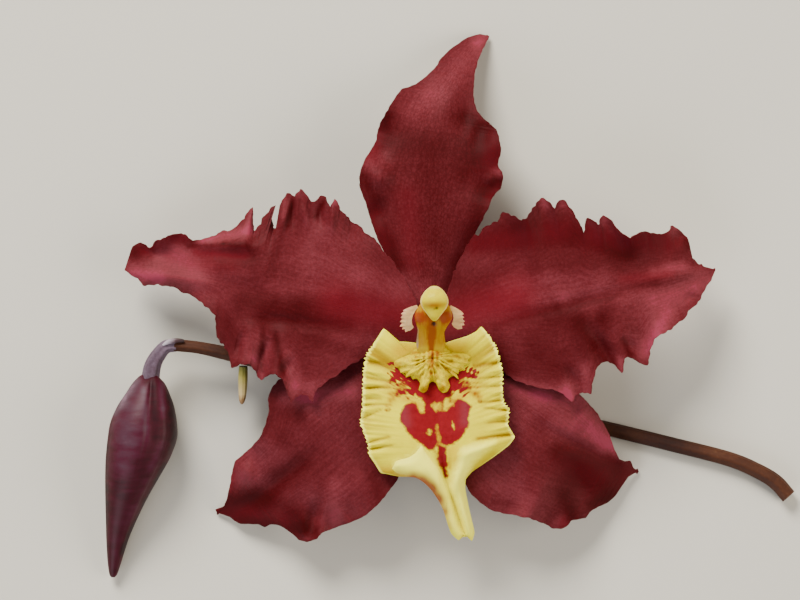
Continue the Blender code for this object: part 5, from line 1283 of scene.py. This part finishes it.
line = smooth_line(BUD, BUD_STEPS)
turn = np.arange(BUD_SIDES) / BUD_SIDES * 2 * math.pi
down = ((line[0, 1] - line[:, 1]) / (line[0, 1] - line[-1, 1]))[:, None]
open_part = ramp(down, 0.5, -0.25) * ramp(down, 0, 0.04)
shape = 1 - 0 * turn[None, :]
for k in range(3):
    shape = shape - CHANNEL_DEPTH * open_part * around(turn, CHANNEL_TURN + k * THIRD, 0.22)
    shape = shape - LAP_DEPTH * around(turn, CHANNEL_TURN + k * THIRD + 0.17, 0.05) * open_part
    shape = shape + KEEL_RISE * around(turn, KEEL_TURN + k * THIRD, 0.09) * ramp(down, 0, 0.1)
shape = np.minimum(shape, 1.02)
x = line[:, 0:1] + line[:, 3:4] * shape * np.cos(turn)
y = line[:, 1:2] + 0 * turn
z = line[:, 2:3] + line[:, 4:5] * shape * np.sin(turn)
# Painted sheen and shade over the bud
painted_sheen_and_shade = 0.04 + strokes(x, y, BUD_SHEEN_AND_SHADE)
y = y + 0.35 * np.cos(3 * (turn - KEEL_TURN)) * np.exp(-down / 0.03)
finish_piece(loft("bud_body", x, y, z, {"painted_sheen_and_shade": painted_sheen_and_shade}), bud_skin(), "bud")


# The bracts: dry, papery little sheaths that grow round the joints of the stem. They are green at the
# base and cream to the tip, and the one at the bud's joint is brown and mauve.
# Paths as (x, y, z, radius), then the colours from base to tip
MIDDLE_BRACT = [
    (-28.1, -5.5, 5.5, 0.66), (-28.15, -7, 5.2, 0.72), (-28.2, -9.2, 4.9, 0.64),
    (-28.3, -10.6, 4.75, 0.46), (-28.35, -11.2, 4.7, 0.16)]
BUD_BRACT = [
    (-37.0, -1.65, 7.2, 0.24), (-38.2, -1.6, 7.3, 0.36), (-39.3, -1.8, 7.25, 0.36),
    (-40.2, -2.3, 7.05, 0.14)]
BRACT_GREENS = [
    (0.05, "#545814"), (0.22, "#746e20"), (0.42, "#a89a44"), (0.85, "#c4a870"), (1.0, "#8a6438")]
BRACT_MAUVES = [(0.05, "#1c0a04"), (0.45, "#3c2024"), (0.7, "#7a6a72"), (1.0, "#a89ca4")]
BLOOM_BRACT = [
    (15.4, -10.0, 2.5, 0.4), (13.6, -9.0, 3.5, 0.45), (11.6, -7.8, 4.6, 0.4), (10.4, -7.1, 5.9, 0.14)]


def bract_skin(name, green_end, cream_end, stops):
    """Papery skin that fades from green to cream between two places, browned in flecks."""
    material, tree, place = start_skin(name)
    start, end = (np.array(on_table(*p)) for p in (green_end, cream_end))
    step = (end - start) / ((end - start) @ (end - start))
    off = add(tree, "ShaderNodeVectorMath", {0: place, 1: tuple(start)}, operation="SUBTRACT").outputs[0]
    share = add(tree, "ShaderNodeVectorMath", {0: off, 1: tuple(step)}, operation="DOT_PRODUCT")
    flecks = add(tree, "ShaderNodeTexNoise", {"Vector": place, "Scale": 1400, "Detail": 3})
    shift = add(tree, "ShaderNodeMath", {0: flecks.outputs["Fac"], 1: 0.25, 2: share.outputs["Value"]},
                operation="MULTIPLY_ADD").outputs[0]
    colour = add(tree, "ShaderNodeValToRGB", {"Fac": shift}, stops=stops).outputs["Color"]
    return finish_skin(material, colour, 0.55)


for node, path, stops in (("middle_bract", MIDDLE_BRACT, BRACT_GREENS),
                          ("bud_bract", BUD_BRACT, BRACT_MAUVES),
                          ("bloom_bract", BLOOM_BRACT, BRACT_GREENS)):
    skin = bract_skin(node.replace("_", " ") + " paper", path[0][:3], path[-1][:3], stops)
    finish_piece(stem(node + "_sheath", path, 9, 0.025, 0.0), skin, node)
